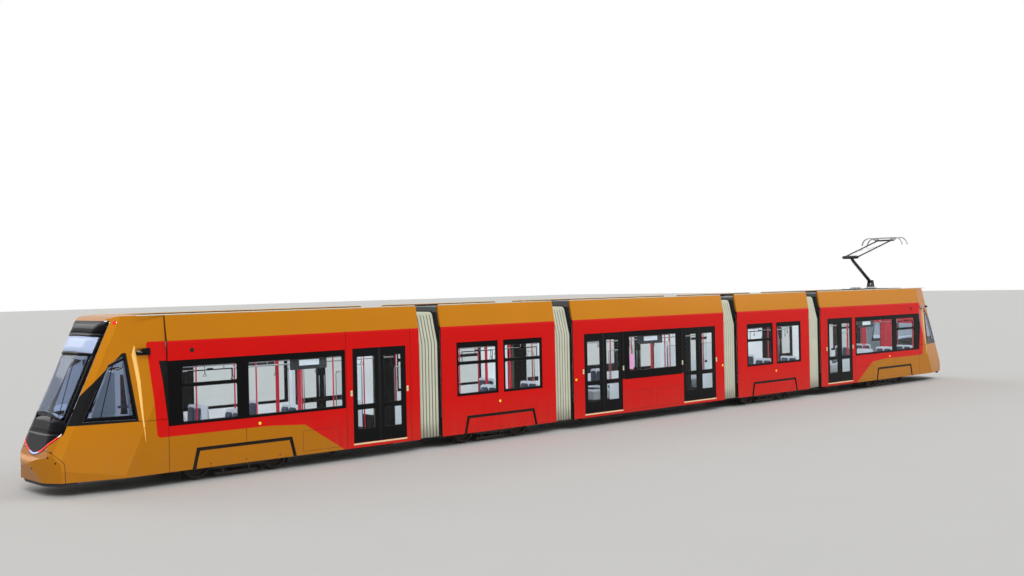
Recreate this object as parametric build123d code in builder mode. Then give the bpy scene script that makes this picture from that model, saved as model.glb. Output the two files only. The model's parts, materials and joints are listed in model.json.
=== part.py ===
"""Low-floor articulated tram: five cars on four bogies, with a driver's cab at each end.

The frame is in millimetres: X runs along the tram, Z is up, and the origin is on the floor under its middle.
The wheel flanges' tips stand at Z = 0, so the top of a rail would be at FLANGE_DEPTH.
Cars a and b are modelled at -X and car c in the middle; cars e and d are a and b turned half round.
"""

from build123d import *
import math
import os
from collections import namedtuple

os.makedirs("parts", exist_ok=True)

# Lengths along the tram, from its middle outwards
CAR_C_HALF = 3150
GANGWAY_GAP = 650
CAR_B_LENGTH = 3740
CAR_A_LENGTH = 8560
CAB_LENGTH = 2340

# Body section
HALF_WIDTH = 1200
WALL = 50
END_WALL = 40
SKIRT_BOTTOM = 290
WALL_TOP = 2810
ROOF_DECK = 2900
DECK_THICK = 50
FAIRING_TOP = 3370
FAIRING_LEAN = 95
FAIRING_WALL = 60
FAIRING_ROUND = 28

# Clearance between pieces that seat on each other
SEAT_GAP = 0.3

# Inside
CEILING = 2600
CEILING_THICK = 30
CEILING_HALF = 900
CEILING_DROP = 60
LOW_FLOOR = 390
FLOOR_THICK = 80
HIGH_FLOOR = 460
HIGH_THICK = 50
RAMP = 480
RAMP_LANDING = 190
AISLE_HALF = 500
PODIUM_WALL = 30
PODIUM_TOP = 720
PODIUM_PLATE = 40
PODIUM_HALF = 1350
LAP = 1
GANGWAY_HALF = 600
GANGWAY_TOP = 2350
POLE_RADIUS = 17
POLE_FROM_DOOR = 140
DOOR_POLE_SIDE = 640
SEAT_DEPTH = 430
SEAT_PAN = 120
SEAT_BACK = 640
SEAT_EDGE = 30
SEAT_HEAD = 42
SEAT_LEAN = 62
SEAT_CROOK = 90
SEAT_BOX = 300
C_SEAT_BACK = 60
C_SEAT_INNER = 680
SEAT_FROM_WALL = 30
SEAT_FROM_AISLE = 20
SEAT_PAIR_GAP = 40

# Windows and doors
WINDOW_LOW = 1190
WINDOW_HIGH = 2470
PANE_THICK = 8
FRAME_DEPTH = 40
FRAME_INSET = 5
FRAME_BORDER = 55
FRAME_HEAD = 130
VENT_BAR_LOW = 1940
VENT_BAR_HIGH = 2000
DOOR_LOW = 392
DOOR_HIGH = 2480
DOOR_WIDTH = 1460
DOOR_THICK = 36
DOOR_INSET = 8
DOOR_STILE = 120
DOOR_NOSE_GAP = 2
DOOR_PANES = [(690, 1130), (1230, 2300)]
B_WINDOW = 1310
B_PILLAR = 180
A_DOOR_IN = 1125
A_DOOR_PILLAR = 195
A_BAND_FRONT = 10
HOPPER_FRONT = 310
HOPPER_WIDTH = 1220
HOPPER_POST = 250
WIDE_PANE_END = 70
C_DOOR_IN = 1140
C_DOOR_PILLAR = 90
C_PILLAR = 200
C_PANE_LOW = 1410

# Running gear
WHEEL_RADIUS = 300
FLANGE_DEPTH = 22
WHEEL_BACK = 694
WHEEL_WIDTH = 115
RIM_DEPTH = 60
HUB_RADIUS = 105
AXLE_RADIUS = 55
JOURNAL_RADIUS = 45
JOURNAL_CLEARANCE = 0.05
WHEELBASE = 1800
BOGIE_A_BEHIND = 1690
BEAM_INNER = 850
BEAM_WIDTH = 80
BOX_HALF = 85
TRANSOM_X = 300
TRANSOM_HALF = 60
TRANSOM_LOW = 250
TRANSOM_HIGH = 350
SPRING_RADIUS = 90
SPRING_NECK = 68
SPRING_X = 300
SPRING_COILS = 5
SPRING_COIL = 24
KINGPIN_RADIUS = 70
KINGPIN_RING = 120
MOTOR_RADIUS = 140
MOTOR_HALF = 400
MOTOR_Y = 715
MOTOR_HEIGHT = 380
SHOE_HALF = 480
SHOE_WIDTH = 70
SHOE_LOW = 36
SHOE_HIGH = 100
SHOE_Y = 750
HANGER = 50
KINGPIN_RISE = 20
BEAM_END = 60

# Towing, jacking and the boxes under the low floor
TOW_BEHIND = 330
TOW_HALF = 80
TOW_THICK = 40
TOW_FACE = 320
TOW_RADIUS = 20
TOW_UPRIGHT = 120
TOW_REACH = 280
JACK_FACE = 280
JACK_HALF = 100
JACK_FROM_WALL = 40
JACK_WIDTH = 120
JACK_C = 1000
JACK_MARGIN = 50
UNDERBOX_HALF = 950
UNDERBOX_LOW = 190
UNDERBOX_EDGE = 30

# Bogie covers in the skirts
COVER_HALF_LOW = 1120
COVER_HALF_HIGH = 1040
COVER_HIGH = 650
COVER_GROOVE = 50
GROOVE_DEPTH = 20

# Gangway
TURNTABLE_RADIUS = 560
TURNTABLE_CLEARANCE = 8
TURNTABLE_LANDING = 30
PIVOT_RADIUS = 60
PIVOT_ARM_HALF = 160
PIVOT_ARM_THICK = 70
PIVOT_ARM_ROOT = 300
ROOF_LINK_HALF = 110
ROOF_LINK_THICK = 45
ROOF_LINK_REACH = 300
ROOF_LINK_NOTCH = 40
ROOF_PIN_RADIUS = 40
PLEATS = 6
PLEAT_THICK = 34
PLEAT_DEPTH = 50
BELLOWS_HALF = 1110
BELLOWS_WALL = 12
BELLOWS_LOW = 300
BELLOWS_SHOULDER = 2480
BELLOWS_TOP_HALF = 925
BELLOWS_TOP = 3215
BELLOWS_CORNER = 90

# Nose: points of its profile by how far they lie behind the tip, and how high
Spot = namedtuple("Spot", "back height")
CHIN_BACK = 190
CHIN = Spot(60, 440)
BUMPER = Spot(0, 600)
BUMPER_BEND = Spot(35, 700)
LEDGE = Spot(150, 760)
SCREEN_BEND = Spot(570, 1960)
BROW = Spot(1270, FAIRING_TOP - 100)
CROWN_BEND = Spot(1420, FAIRING_TOP - 25)
CROWN = Spot(1600, FAIRING_TOP)
CAB_WINDOW = [Spot(740, 1390), Spot(1710, 1380), Spot(1560, 2600), Spot(1270, 2450)]

# Nose: the section across its rake, and the plan of its bumper
RAKE_DEG = 24.5
SCREEN_LEAD = 130
SCREEN_HALF = 760
SCREEN_SAG = 190
CORNER_HALF = 880
CORNER_BACK = 330
SIDE_BACK = 1500
BUMPER_HALF = 900
BUMPER_SAG = 330
BUMPER_SIDE = 1450
SCREEN_THICK = 14
RUN_OUT = 6000
SEAM_OVERRUN = 400

# Nose: the black panel in the front view, its lamps and the marker lamps
MASK_TOP = (782, 3285)
MASK_LOW = (785, 1180)
VEE_MIDDLE = (460, 905)
VEE_APEX = 765
LAMP_RISE = 18
LAMP_BAND = 42
LAMP_HALF = 700
MARKER = (838, 3245)
MARKER_RADIUS = 28

# Rear-view cameras on the cab's sides: their profile, and how far they reach from the middle
CAMERA = [Spot(1755, 2700), Spot(1820, 2738), Spot(1980, 2746), Spot(1980, 2660), Spot(1820, 2664)]
CAMERA_INNER = 1015
CAMERA_OUTER = 1235

# Cab inside
CAB_FLOOR_BACK = 400
DESK = [Spot(860, 460), Spot(1060, 460), Spot(1100, 1040), Spot(1030, 1100), Spot(640, 1160), Spot(560, 900)]
DESK_HALF = 640
DRIVER_SEAT_BACK = 1950
DRIVER_SEAT_BASE = 800
DRIVER_SEAT_HALF = 230
PEDESTAL_RADIUS = 70
PARTITION = 36
PARTITION_WINDOW = (330, 900, 1350, 2150)

# Roof equipment
GEAR_CHAMFER = 40
GRILLE_PITCH = 90
GRILLE_SLOT = 44
GRILLE_MARGIN = 90
GRILLE_DEPTH = 18
FAN_RADIUS = 250
FAN_DEPTH = 60
FAN_HUB = 60
FAN_BLADES = 6
GEAR_FROM_LINK = 50
GEAR_B_GAP = (-230, 170)
GEAR_C_GAPS = (-700, -300, 700, 1000)
GEAR_A_FRONT = 510
GEAR_A_BREAK = (2510, 3010)
GEAR_A_END = 1110
GEAR_E = (710, 3010)
GEAR_A_HALF = 900
GEAR_A_TALL = 440
GEAR_A_LOW = 400
GEAR_B_HALVES = (900, 850)
GEAR_B_HEIGHTS = (420, 380)
GEAR_C_HALVES = (880, 700)
GEAR_C_HEIGHTS = (440, 360, 400)

# Pantograph: places by how far they lie behind the cab seam, and how high
PANTO_PIVOT_IN = 1160
PANTO_KNEE_IN = 2440
PANTO_HEAD_IN = 160
PANTO_PIVOT_HEIGHT = 3640
PANTO_KNEE_HEIGHT = 4510
PANTO_HEAD_HEIGHT = 5120
ARM_TUBE = 45
UPPER_TUBE = 24
STRIP_HALF = 560
STRIP_SPREAD = 180
HORN_REACH = 260
HORN_DROP = 240
HORN_RADIUS = 300
HORN_TIP = 28
STRIP_RISE = 70
STRIP_THICK = 30
STRIP_WIDTH = 60
PANTO_FRAME_AHEAD = 1100
PANTO_FRAME_BEHIND = 1000
PANTO_FRAME_HALF = 560
PANTO_FRAME_LOW = 3330
PANTO_RAIL = 80
PANTO_RAIL_DEEP = 60
INSULATOR_RADIUS = 45
INSULATOR_IN = 60
EAR_INNER = 60
EAR_THICK = 30
EAR_FOOT = 130
EAR_TOP = 50
PIN_RADIUS = 25
PIN_HUB = 12
KNEE_HUB_INNER = 240
KNEE_HUB_OUTER = 300
HEAD_PIN_RADIUS = 16
HEAD_HUB_INNER = 330
HEAD_HUB_OUTER = 370

# Places that follow from the sizes above
CAR_B_INNER = CAR_C_HALF + GANGWAY_GAP
CAR_B_OUTER = CAR_B_INNER + CAR_B_LENGTH
CAR_A_INNER = CAR_B_OUTER + GANGWAY_GAP
HALF_LENGTH = CAR_A_INNER + CAR_A_LENGTH
CAB_SEAM = HALF_LENGTH - CAB_LENGTH
PIVOT_BC = CAR_C_HALF + GANGWAY_GAP / 2
PIVOT_AB = CAR_B_OUTER + GANGWAY_GAP / 2
BOGIE_B = (CAR_B_INNER + CAR_B_OUTER) / 2
BOGIE_A = CAB_SEAM - BOGIE_A_BEHIND
AXLE_HEIGHT = WHEEL_RADIUS + FLANGE_DEPTH
INNER_HALF = HALF_WIDTH - WALL
UNDER_LOW = LOW_FLOOR - FLOOR_THICK
UNDER_HIGH = HIGH_FLOOR - HIGH_THICK
PANTO_PIVOT = (CAB_SEAM - PANTO_PIVOT_IN, PANTO_PIVOT_HEIGHT)
PANTO_KNEE = (CAB_SEAM - PANTO_KNEE_IN, PANTO_KNEE_HEIGHT)
PANTO_HEAD = (CAB_SEAM - PANTO_HEAD_IN, PANTO_HEAD_HEIGHT)
A_DOOR = -CAR_A_INNER - A_DOOR_IN
C_DOOR = CAR_C_HALF - C_DOOR_IN


def face(points, mode=Mode.ADD):
    """A polygon through the given corners, in the sketch's own coordinates."""
    return Polygon(*points, align=None, mode=mode)


def block(x, y, z, mode=Mode.ADD):
    """A box given by its two ends along each axis."""
    with Locations(((x[0] + x[1]) / 2, (y[0] + y[1]) / 2, (z[0] + z[1]) / 2)):
        Box(abs(x[1] - x[0]), abs(y[1] - y[0]), abs(z[1] - z[0]), mode=mode)


def draw_in(inset):
    """Draw the open sketch in by inset."""
    if inset:
        offset(amount=-inset)


def nose_at(spot):
    """A point of the nose's profile as (x, z)."""
    return (spot.back - HALF_LENGTH, spot.height)


def keep(part, name):
    """Label a finished part and write it under its own name."""
    part.label = name
    export_step(part, f"parts/{name}.step")


def keep_pair(part, near, far, piece):
    """Write a part for one car and its turned copy for the matching car."""
    keep(part, f"{near}_{piece}")
    keep(part.rotate(Axis.Z, 180), f"{far}_{piece}")


# A window is the outline (x, z) of its opening and its clear panes (x0, x1, z0, z1)
Window = namedtuple("Window", "outline panes")


def vent_panes(x0, x1):
    """The lower pane and the tilting vent above it."""
    return [
        (x0, x1, WINDOW_LOW + FRAME_BORDER, VENT_BAR_LOW),
        (x0, x1, VENT_BAR_HIGH, WINDOW_HIGH - FRAME_HEAD),
    ]


def tall_pane(x0, x1, low=WINDOW_LOW + FRAME_BORDER):
    """One pane from the sill to the head of the frame."""
    return [(x0, x1, low, WINDOW_HIGH - FRAME_HEAD)]


def band(x0, x1):
    """The outline of a window opening."""
    return [(x0, WINDOW_LOW), (x1, WINDOW_LOW), (x1, WINDOW_HIGH), (x0, WINDOW_HIGH)]


B_OUTER_WINDOW = -BOGIE_B - B_PILLAR / 2 - B_WINDOW
B_INNER_WINDOW = -BOGIE_B + B_PILLAR / 2
B_WINDOWS = [
    Window(band(x, x + B_WINDOW), vent_panes(x + FRAME_BORDER, x + B_WINDOW - FRAME_BORDER))
    for x in (B_OUTER_WINDOW, B_INNER_WINDOW)
]
D_WINDOWS = [
    Window(band(x, x + B_WINDOW), panes(x + FRAME_BORDER, x + B_WINDOW - FRAME_BORDER))
    for x, panes in ((-B_INNER_WINDOW - B_WINDOW, vent_panes), (-B_OUTER_WINDOW - B_WINDOW, tall_pane))
]
A_BAND = (A_BAND_FRONT - CAB_SEAM, A_DOOR - DOOR_WIDTH / 2 - A_DOOR_PILLAR)
HOPPER = HOPPER_FRONT - CAB_SEAM
WIDE_PANE = HOPPER + HOPPER_WIDTH + HOPPER_POST
A_PANES = vent_panes(HOPPER, HOPPER + HOPPER_WIDTH) + tall_pane(WIDE_PANE, A_BAND[1] - WIDE_PANE_END)
A_WINDOWS = [Window(band(*A_BAND), A_PANES)]
C_BAND_HALF = C_DOOR - DOOR_WIDTH / 2 - C_DOOR_PILLAR
C_PANE_HALF = C_BAND_HALF - C_PILLAR
C_WINDOWS = [Window(band(-C_BAND_HALF, C_BAND_HALF), tall_pane(-C_PANE_HALF, C_PANE_HALF, C_PANE_LOW))]


def cover_outline(centre, grow):
    """The outline of a bogie cover, or of the groove round it."""
    return [
        (centre - COVER_HALF_LOW - grow, SKIRT_BOTTOM),
        (centre + COVER_HALF_LOW + grow, SKIRT_BOTTOM),
        (centre + COVER_HALF_HIGH + grow, COVER_HIGH + grow),
        (centre - COVER_HALF_HIGH - grow, COVER_HIGH + grow),
    ]


def car_walls(x0, x1, windows, doors, covers, ends):
    """Both side walls of a car with their openings, and its gangway end walls."""
    with BuildPart() as walls:
        with BuildSketch(Plane.XZ.offset(INNER_HALF)):
            face([(x0, SKIRT_BOTTOM), (x1, SKIRT_BOTTOM), (x1, WALL_TOP), (x0, WALL_TOP)])
            for window in windows:
                face(window.outline, mode=Mode.SUBTRACT)
            for door in doors:
                with Locations((door, (DOOR_LOW + DOOR_HIGH) / 2)):
                    Rectangle(DOOR_WIDTH, DOOR_HIGH - DOOR_LOW, mode=Mode.SUBTRACT)
        extrude(amount=WALL)
        for cover in covers:
            with BuildSketch(Plane.XZ.offset(HALF_WIDTH)):
                face(cover_outline(cover, COVER_GROOVE))
                face(cover_outline(cover, 0), mode=Mode.SUBTRACT)
            extrude(amount=-GROOVE_DEPTH, mode=Mode.SUBTRACT)
        mirror(about=Plane.XZ)
        for end, inwards in ends:
            with BuildSketch(Plane.YZ.offset(end)):
                with Locations((0, (LOW_FLOOR + WALL_TOP) / 2)):
                    Rectangle(2 * INNER_HALF, WALL_TOP - LOW_FLOOR)
                with Locations((0, (LOW_FLOOR + GANGWAY_TOP) / 2)):
                    Rectangle(2 * GANGWAY_HALF, GANGWAY_TOP - LOW_FLOOR, mode=Mode.SUBTRACT)
            extrude(amount=inwards * END_WALL)
    return walls.part


def car_windows(windows):
    """Black window frames that fill the openings, each pane a thin web between two pockets."""
    front = HALF_WIDTH - FRAME_INSET
    pocket = (FRAME_DEPTH - PANE_THICK) / 2
    outside = (-front, -front + pocket)
    inside = (-front + pocket + PANE_THICK, -front + FRAME_DEPTH)
    with BuildPart() as frames:
        for window in windows:
            with BuildSketch(Plane.XZ.offset(front)):
                face(window.outline)
                offset(amount=-SEAT_GAP, kind=Kind.INTERSECTION)
            extrude(amount=-FRAME_DEPTH)
            for x0, x1, z0, z1 in window.panes:
                for side in (outside, inside):
                    block((x0, x1), side, (z0, z1), mode=Mode.SUBTRACT)
        mirror(about=Plane.XZ)
    return frames.part


def car_doors(doors):
    """Two leaves at each doorway, with an upper and a lower pane in each."""
    front = HALF_WIDTH - DOOR_INSET
    pocket = (DOOR_THICK - PANE_THICK) / 2
    outside = (-front, -front + pocket)
    inside = (-front + pocket + PANE_THICK, -front + DOOR_THICK)
    with BuildPart() as leaves:
        for door in doors:
            for side in (-1, 1):
                near = door + side * DOOR_NOSE_GAP / 2
                far = door + side * (DOOR_WIDTH / 2 - SEAT_GAP)
                block((near, far), (-front, -front + DOOR_THICK), (DOOR_LOW + SEAT_GAP, DOOR_HIGH - SEAT_GAP))
                pane = (near + side * DOOR_STILE, far - side * DOOR_STILE)
                for heights in DOOR_PANES:
                    for pocket_y in (outside, inside):
                        block(pane, pocket_y, heights, mode=Mode.SUBTRACT)
        mirror(about=Plane.XZ)
    return leaves.part


def roof_section():
    """Half of the roof's section: the deck, and the fairing that leans in above the wall."""
    lean = FAIRING_LEAN / (FAIRING_TOP - WALL_TOP)
    at_deck = HALF_WIDTH - lean * (ROOF_DECK - WALL_TOP) - FAIRING_WALL
    top = HALF_WIDTH - FAIRING_LEAN
    return [
        (0, ROOF_DECK - DECK_THICK),
        (INNER_HALF, ROOF_DECK - DECK_THICK),
        (INNER_HALF, WALL_TOP),
        (HALF_WIDTH, WALL_TOP),
        (top, FAIRING_TOP),
        (top - FAIRING_WALL, FAIRING_TOP),
        (at_deck, ROOF_DECK),
        (0, ROOF_DECK),
    ]


def roof_link(pivot, toward, upper):
    """A tongue on the roof deck that reaches the pivot; the lower one carries the pin."""
    low = ROOF_DECK + (ROOF_LINK_THICK + SEAT_GAP if upper else 0)
    high = low + ROOF_LINK_THICK
    base = pivot + toward * (GANGWAY_GAP / 2 + ROOF_LINK_REACH)
    sides = (-ROOF_LINK_HALF, ROOF_LINK_HALF)
    block((pivot, base), sides, (low, high))
    with Locations((pivot, 0, (low + high) / 2)):
        Cylinder(ROOF_LINK_HALF, ROOF_LINK_THICK)
    if upper:
        foot = pivot + toward * (GANGWAY_GAP / 2 + END_WALL)
        block((foot, base), sides, (ROOF_DECK, high))
        with Locations((pivot, 0, low + ROOF_LINK_THICK / 2)):
            Cylinder(ROOF_PIN_RADIUS + JOURNAL_CLEARANCE, 2 * ROOF_LINK_THICK, mode=Mode.SUBTRACT)
    else:
        with Locations((pivot, 0, high + ROOF_LINK_THICK / 2)):
            Cylinder(ROOF_PIN_RADIUS, ROOF_LINK_THICK)


def car_roof(x0, x1, ends, links):
    """The roof deck with its side fairings, end plates and roof links."""
    plate_low = HALF_WIDTH - FAIRING_WALL
    plate_top = HALF_WIDTH - FAIRING_LEAN - FAIRING_WALL / 2
    notch_half = ROOF_LINK_HALF + ROOF_LINK_NOTCH
    notch_top = ROOF_DECK + 2 * ROOF_LINK_THICK + 2 * ROOF_LINK_NOTCH
    with BuildPart() as roof:
        with BuildSketch(Plane.YZ.offset(x0)) as section:
            face(roof_section())
            mirror(about=Plane.YZ)
            fillet(section.vertices().group_by(Axis.Y)[-1], radius=FAIRING_ROUND)
        extrude(amount=x1 - x0)
        for end, inwards in ends:
            with BuildSketch(Plane.YZ.offset(end)):
                face([
                    (-plate_low, ROOF_DECK), (plate_low, ROOF_DECK),
                    (plate_top, BELLOWS_TOP), (-plate_top, BELLOWS_TOP),
                ])
                face([
                    (-notch_half, ROOF_DECK), (notch_half, ROOF_DECK),
                    (notch_half, notch_top), (-notch_half, notch_top),
                ], mode=Mode.SUBTRACT)
            extrude(amount=inwards * END_WALL)
        for pivot, toward, upper in links:
            roof_link(pivot, toward, upper)
    return roof.part


def bellows(x0, x1):
    """A pleated arch with slanted shoulders that closes the gangway between two cars."""
    pitch = (x1 - x0) / PLEATS
    low = BELLOWS_LOW - HALF_WIDTH
    outline = [
        (-BELLOWS_HALF, low), (BELLOWS_HALF, low), (BELLOWS_HALF, BELLOWS_SHOULDER),
        (BELLOWS_TOP_HALF, BELLOWS_TOP), (-BELLOWS_TOP_HALF, BELLOWS_TOP), (-BELLOWS_HALF, BELLOWS_SHOULDER),
    ]
    # Each ring is where it starts, how thick it is, and how far it is drawn in from the crests
    rings = [(x0, x1 - x0, PLEAT_DEPTH, Mode.ADD)]
    rings += [(x0 + pitch * (n + 0.5) - PLEAT_THICK / 2, PLEAT_THICK, 0, Mode.ADD) for n in range(PLEATS)]
    rings += [(x0, x1 - x0, PLEAT_DEPTH + BELLOWS_WALL, Mode.SUBTRACT)]
    with BuildPart() as arch:
        for start, thick, inset, mode in rings:
            with BuildSketch(Plane.YZ.offset(start)) as ring:
                face(outline)
                fillet(ring.vertices().group_by(Axis.Y)[-1], radius=BELLOWS_CORNER)
                draw_in(inset)
            extrude(amount=thick, mode=mode)
        block((x0, x1), (-HALF_WIDTH, HALF_WIDTH), (low, BELLOWS_LOW), mode=Mode.SUBTRACT)
    return arch.part


def ramp_profile(x0, x1, low_ends):
    """The aisle floor from x0 to x1, ramped down to the low floor at the ends named in low_ends."""
    top = []
    under = []
    for x, inwards in ((x0, 1), (x1, -1)):
        if x in low_ends:
            run = low_ends[x]
            points = [(x, LOW_FLOOR, FLOOR_THICK), (x + inwards * run, LOW_FLOOR, FLOOR_THICK)]
            points.append((x + inwards * (run + RAMP), HIGH_FLOOR, HIGH_THICK))
        else:
            points = [(x, HIGH_FLOOR, HIGH_THICK)]
        if inwards < 0:
            points.reverse()
        top += [(px, pz) for px, pz, thick in points]
        under += [(px, pz - thick) for px, pz, thick in points]
    return top + under[::-1]


def podiums(bogie):
    """Boxes over the wheels on both sides, closed all round but below."""
    x0 = bogie - PODIUM_HALF
    x1 = bogie + PODIUM_HALF
    under = PODIUM_TOP - PODIUM_PLATE
    for side in (-1, 1):
        y0 = side * AISLE_HALF
        y1 = side * INNER_HALF
        block((x0, x1), (y0, y1), (under, PODIUM_TOP))
        block((x0, x1), (y0, y0 + side * PODIUM_WALL), (UNDER_HIGH, under))
        for x in (x0, x1 - PODIUM_WALL):
            block((x, x + PODIUM_WALL), (y0, y1), (UNDER_LOW, under))


def kingpin(bogie):
    """The pin under the floor that the bogie turns on."""
    low = TRANSOM_LOW + KINGPIN_RISE
    with Locations((bogie, 0, (UNDER_HIGH + low) / 2)):
        Cylinder(KINGPIN_RADIUS, UNDER_HIGH - low)


def turntable(pivot, toward):
    """The round walking plate over the pivot, with its neck and the pivot pin below it."""
    with Locations((pivot, 0, LOW_FLOOR - FLOOR_THICK / 2)):
        Cylinder(TURNTABLE_RADIUS, FLOOR_THICK)
    neck = pivot + toward * (GANGWAY_GAP / 2 + END_WALL)
    block((pivot, neck), (-AISLE_HALF, AISLE_HALF), (UNDER_LOW, LOW_FLOOR))
    with Locations((pivot, 0, UNDER_LOW - PIVOT_ARM_THICK / 2)):
        Cylinder(PIVOT_RADIUS, PIVOT_ARM_THICK + 2 * SEAT_GAP)


def turntable_recess(pivot):
    """The round end of the next car's floor, cleared for the walking plate."""
    with Locations((pivot, 0, LOW_FLOOR - FLOOR_THICK / 2)):
        Cylinder(TURNTABLE_RADIUS + TURNTABLE_CLEARANCE, 2 * FLOOR_THICK, mode=Mode.SUBTRACT)


def pivot_arm(pivot, toward):
    """The arm under the floor whose eye takes the pivot pin."""
    top = UNDER_LOW - SEAT_GAP
    low = top - PIVOT_ARM_THICK + 2 * SEAT_GAP
    root = pivot + toward * (TURNTABLE_RADIUS + TURNTABLE_CLEARANCE)
    end = root + toward * PIVOT_ARM_ROOT
    sides = (-PIVOT_ARM_HALF, PIVOT_ARM_HALF)
    block((pivot, end), sides, (low, top))
    block((root + toward * TURNTABLE_CLEARANCE, end), sides, (low, UNDER_LOW))
    with Locations((pivot, 0, (low + top) / 2)):
        Cylinder(PIVOT_ARM_HALF, top - low)
        Cylinder(PIVOT_RADIUS + JOURNAL_CLEARANCE, 2 * PIVOT_ARM_THICK, mode=Mode.SUBTRACT)


def jack_pads(places):
    """Pads under the low floor's edges where the car is jacked."""
    outer = INNER_HALF - JACK_FROM_WALL
    for x in places:
        for side in (-1, 1):
            sides = (side * outer, side * (outer - JACK_WIDTH))
            block((x - JACK_HALF, x + JACK_HALF), sides, (JACK_FACE, UNDER_LOW))


def underbox(x0, x1):
    """A closed equipment box under the low floor, with its lower edges cut back."""
    with BuildSketch(Plane.YZ.offset(x0)) as section:
        face([
            (-UNDERBOX_HALF, UNDER_LOW), (UNDERBOX_HALF, UNDER_LOW),
            (UNDERBOX_HALF, UNDERBOX_LOW + UNDERBOX_EDGE), (UNDERBOX_HALF - UNDERBOX_EDGE, UNDERBOX_LOW),
            (UNDERBOX_EDGE - UNDERBOX_HALF, UNDERBOX_LOW), (-UNDERBOX_HALF, UNDERBOX_LOW + UNDERBOX_EDGE),
        ])
    extrude(section.sketch, amount=x1 - x0)


def tow_bracket():
    """The plate behind the bumper whose eye takes a towing pin."""
    eye = TOW_BEHIND - HALF_LENGTH
    sides = (-TOW_HALF, TOW_HALF)
    root = eye + TOW_REACH
    block((eye - TOW_HALF, root), sides, (TOW_FACE, TOW_FACE + TOW_THICK))
    block((eye + TOW_UPRIGHT, root), sides, (TOW_FACE, UNDER_HIGH))
    with Locations((eye, 0, TOW_FACE + TOW_THICK / 2)):
        Cylinder(TOW_RADIUS, 2 * TOW_THICK, mode=Mode.SUBTRACT)


def nose_form(inset, behind):
    """The cab's outer form, drawn in by inset; it runs on behind the seam and down to the floor."""
    rake = math.radians(RAKE_DEG)
    back = behind - CAB_SEAM
    tip = -HALF_LENGTH
    brow = nose_at(BROW)
    ledge = nose_at(LEDGE)
    bumper = nose_at(BUMPER)
    crown = nose_at(CROWN)
    chin = nose_at(CHIN)
    with BuildPart() as form:
        shift = inset * (1 - math.sin(rake)) / math.cos(rake)
        profile = Plane(origin=(shift, HALF_WIDTH, -inset), x_dir=(1, 0, 0), z_dir=(0, -1, 0))
        with BuildSketch(profile):
            with BuildLine():
                Polyline((back, 0), (tip + CHIN_BACK, 0), chin, bumper)
                ThreePointArc(bumper, nose_at(BUMPER_BEND), ledge)
                ThreePointArc(ledge, nose_at(SCREEN_BEND), brow)
                ThreePointArc(brow, nose_at(CROWN_BEND), crown)
                Polyline(crown, (back, FAIRING_TOP), (back, 0))
            make_face()
        extrude(amount=2 * HALF_WIDTH)
        lead = (brow[0] - SCREEN_LEAD, 0, brow[1])
        with BuildSketch(Plane(origin=lead, x_dir=(0, 1, 0), z_dir=(math.sin(rake), 0, math.cos(rake)))):
            with BuildLine():
                ThreePointArc((-SCREEN_HALF, -SCREEN_SAG), (0, 0), (SCREEN_HALF, -SCREEN_SAG))
                for side in (-1, 1):
                    Polyline(
                        (side * SCREEN_HALF, -SCREEN_SAG), (side * CORNER_HALF, -CORNER_BACK),
                        (side * HALF_WIDTH, -SIDE_BACK), (side * HALF_WIDTH, -RUN_OUT), (0, -RUN_OUT),
                    )
            make_face()
            draw_in(inset)
        extrude(amount=RUN_OUT, both=True, mode=Mode.INTERSECT)
        with BuildSketch(Plane.XY):
            with BuildLine():
                ThreePointArc((tip + BUMPER_SAG, -BUMPER_HALF), (tip, 0), (tip + BUMPER_SAG, BUMPER_HALF))
                for side in (-1, 1):
                    Polyline(
                        (tip + BUMPER_SAG, side * BUMPER_HALF), (tip + BUMPER_SIDE, side * HALF_WIDTH),
                        (tip + RUN_OUT, side * HALF_WIDTH), (tip + RUN_OUT, 0),
                    )
            make_face()
            draw_in(inset)
        extrude(amount=RUN_OUT, both=True, mode=Mode.INTERSECT)
        with BuildSketch(Plane.YZ.offset(tip - WALL)):
            top = HALF_WIDTH - FAIRING_LEAN
            face([
                (-HALF_WIDTH, -HALF_WIDTH), (HALF_WIDTH, -HALF_WIDTH), (HALF_WIDTH, WALL_TOP),
                (top, FAIRING_TOP), (-top, FAIRING_TOP), (-HALF_WIDTH, WALL_TOP),
            ])
            draw_in(inset)
        extrude(amount=RUN_OUT, mode=Mode.INTERSECT)
    return form.part


def mask_outline():
    """The black front panel in the front view: screen, sides and the shallow V of its lower edge."""
    with BuildLine() as outline:
        Polyline(
            (-MASK_LOW[0], MASK_LOW[1]), (-MASK_TOP[0], MASK_TOP[1]),
            (MASK_TOP[0], MASK_TOP[1]), (MASK_LOW[0], MASK_LOW[1]),
        )
        add(vee_edges(0))
    return outline.line


def vee_edges(rise):
    """The two arcs of the V, lifted by rise."""
    with BuildLine() as vee:
        for side in (-1, 1):
            ThreePointArc(
                (side * MASK_LOW[0], MASK_LOW[1] + rise),
                (side * VEE_MIDDLE[0], VEE_MIDDLE[1] + rise),
                (0, VEE_APEX + rise),
            )
    return vee.line


def front_openings(gap, lamps):
    """A cutter through the front for the black panel, drawn in by gap, or for its lamp band alone."""
    depth = WALL + CROWN.back + SCREEN_SAG
    with BuildPart() as cutter:
        with BuildSketch(Plane.YZ.offset(-HALF_LENGTH - WALL)):
            if lamps:
                band_low = MASK_LOW[1] + LAMP_RISE
                with BuildLine():
                    add(vee_edges(LAMP_RISE))
                    add(vee_edges(LAMP_RISE + LAMP_BAND))
                    for side in (-1, 1):
                        y = side * MASK_LOW[0]
                        Line((y, band_low), (y, band_low + LAMP_BAND))
                make_face()
                Rectangle(2 * LAMP_HALF, 2 * RUN_OUT, mode=Mode.INTERSECT)
            else:
                with BuildLine():
                    add(mask_outline())
                make_face()
            draw_in(gap)
        extrude(amount=depth)
    return cutter.part


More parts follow.
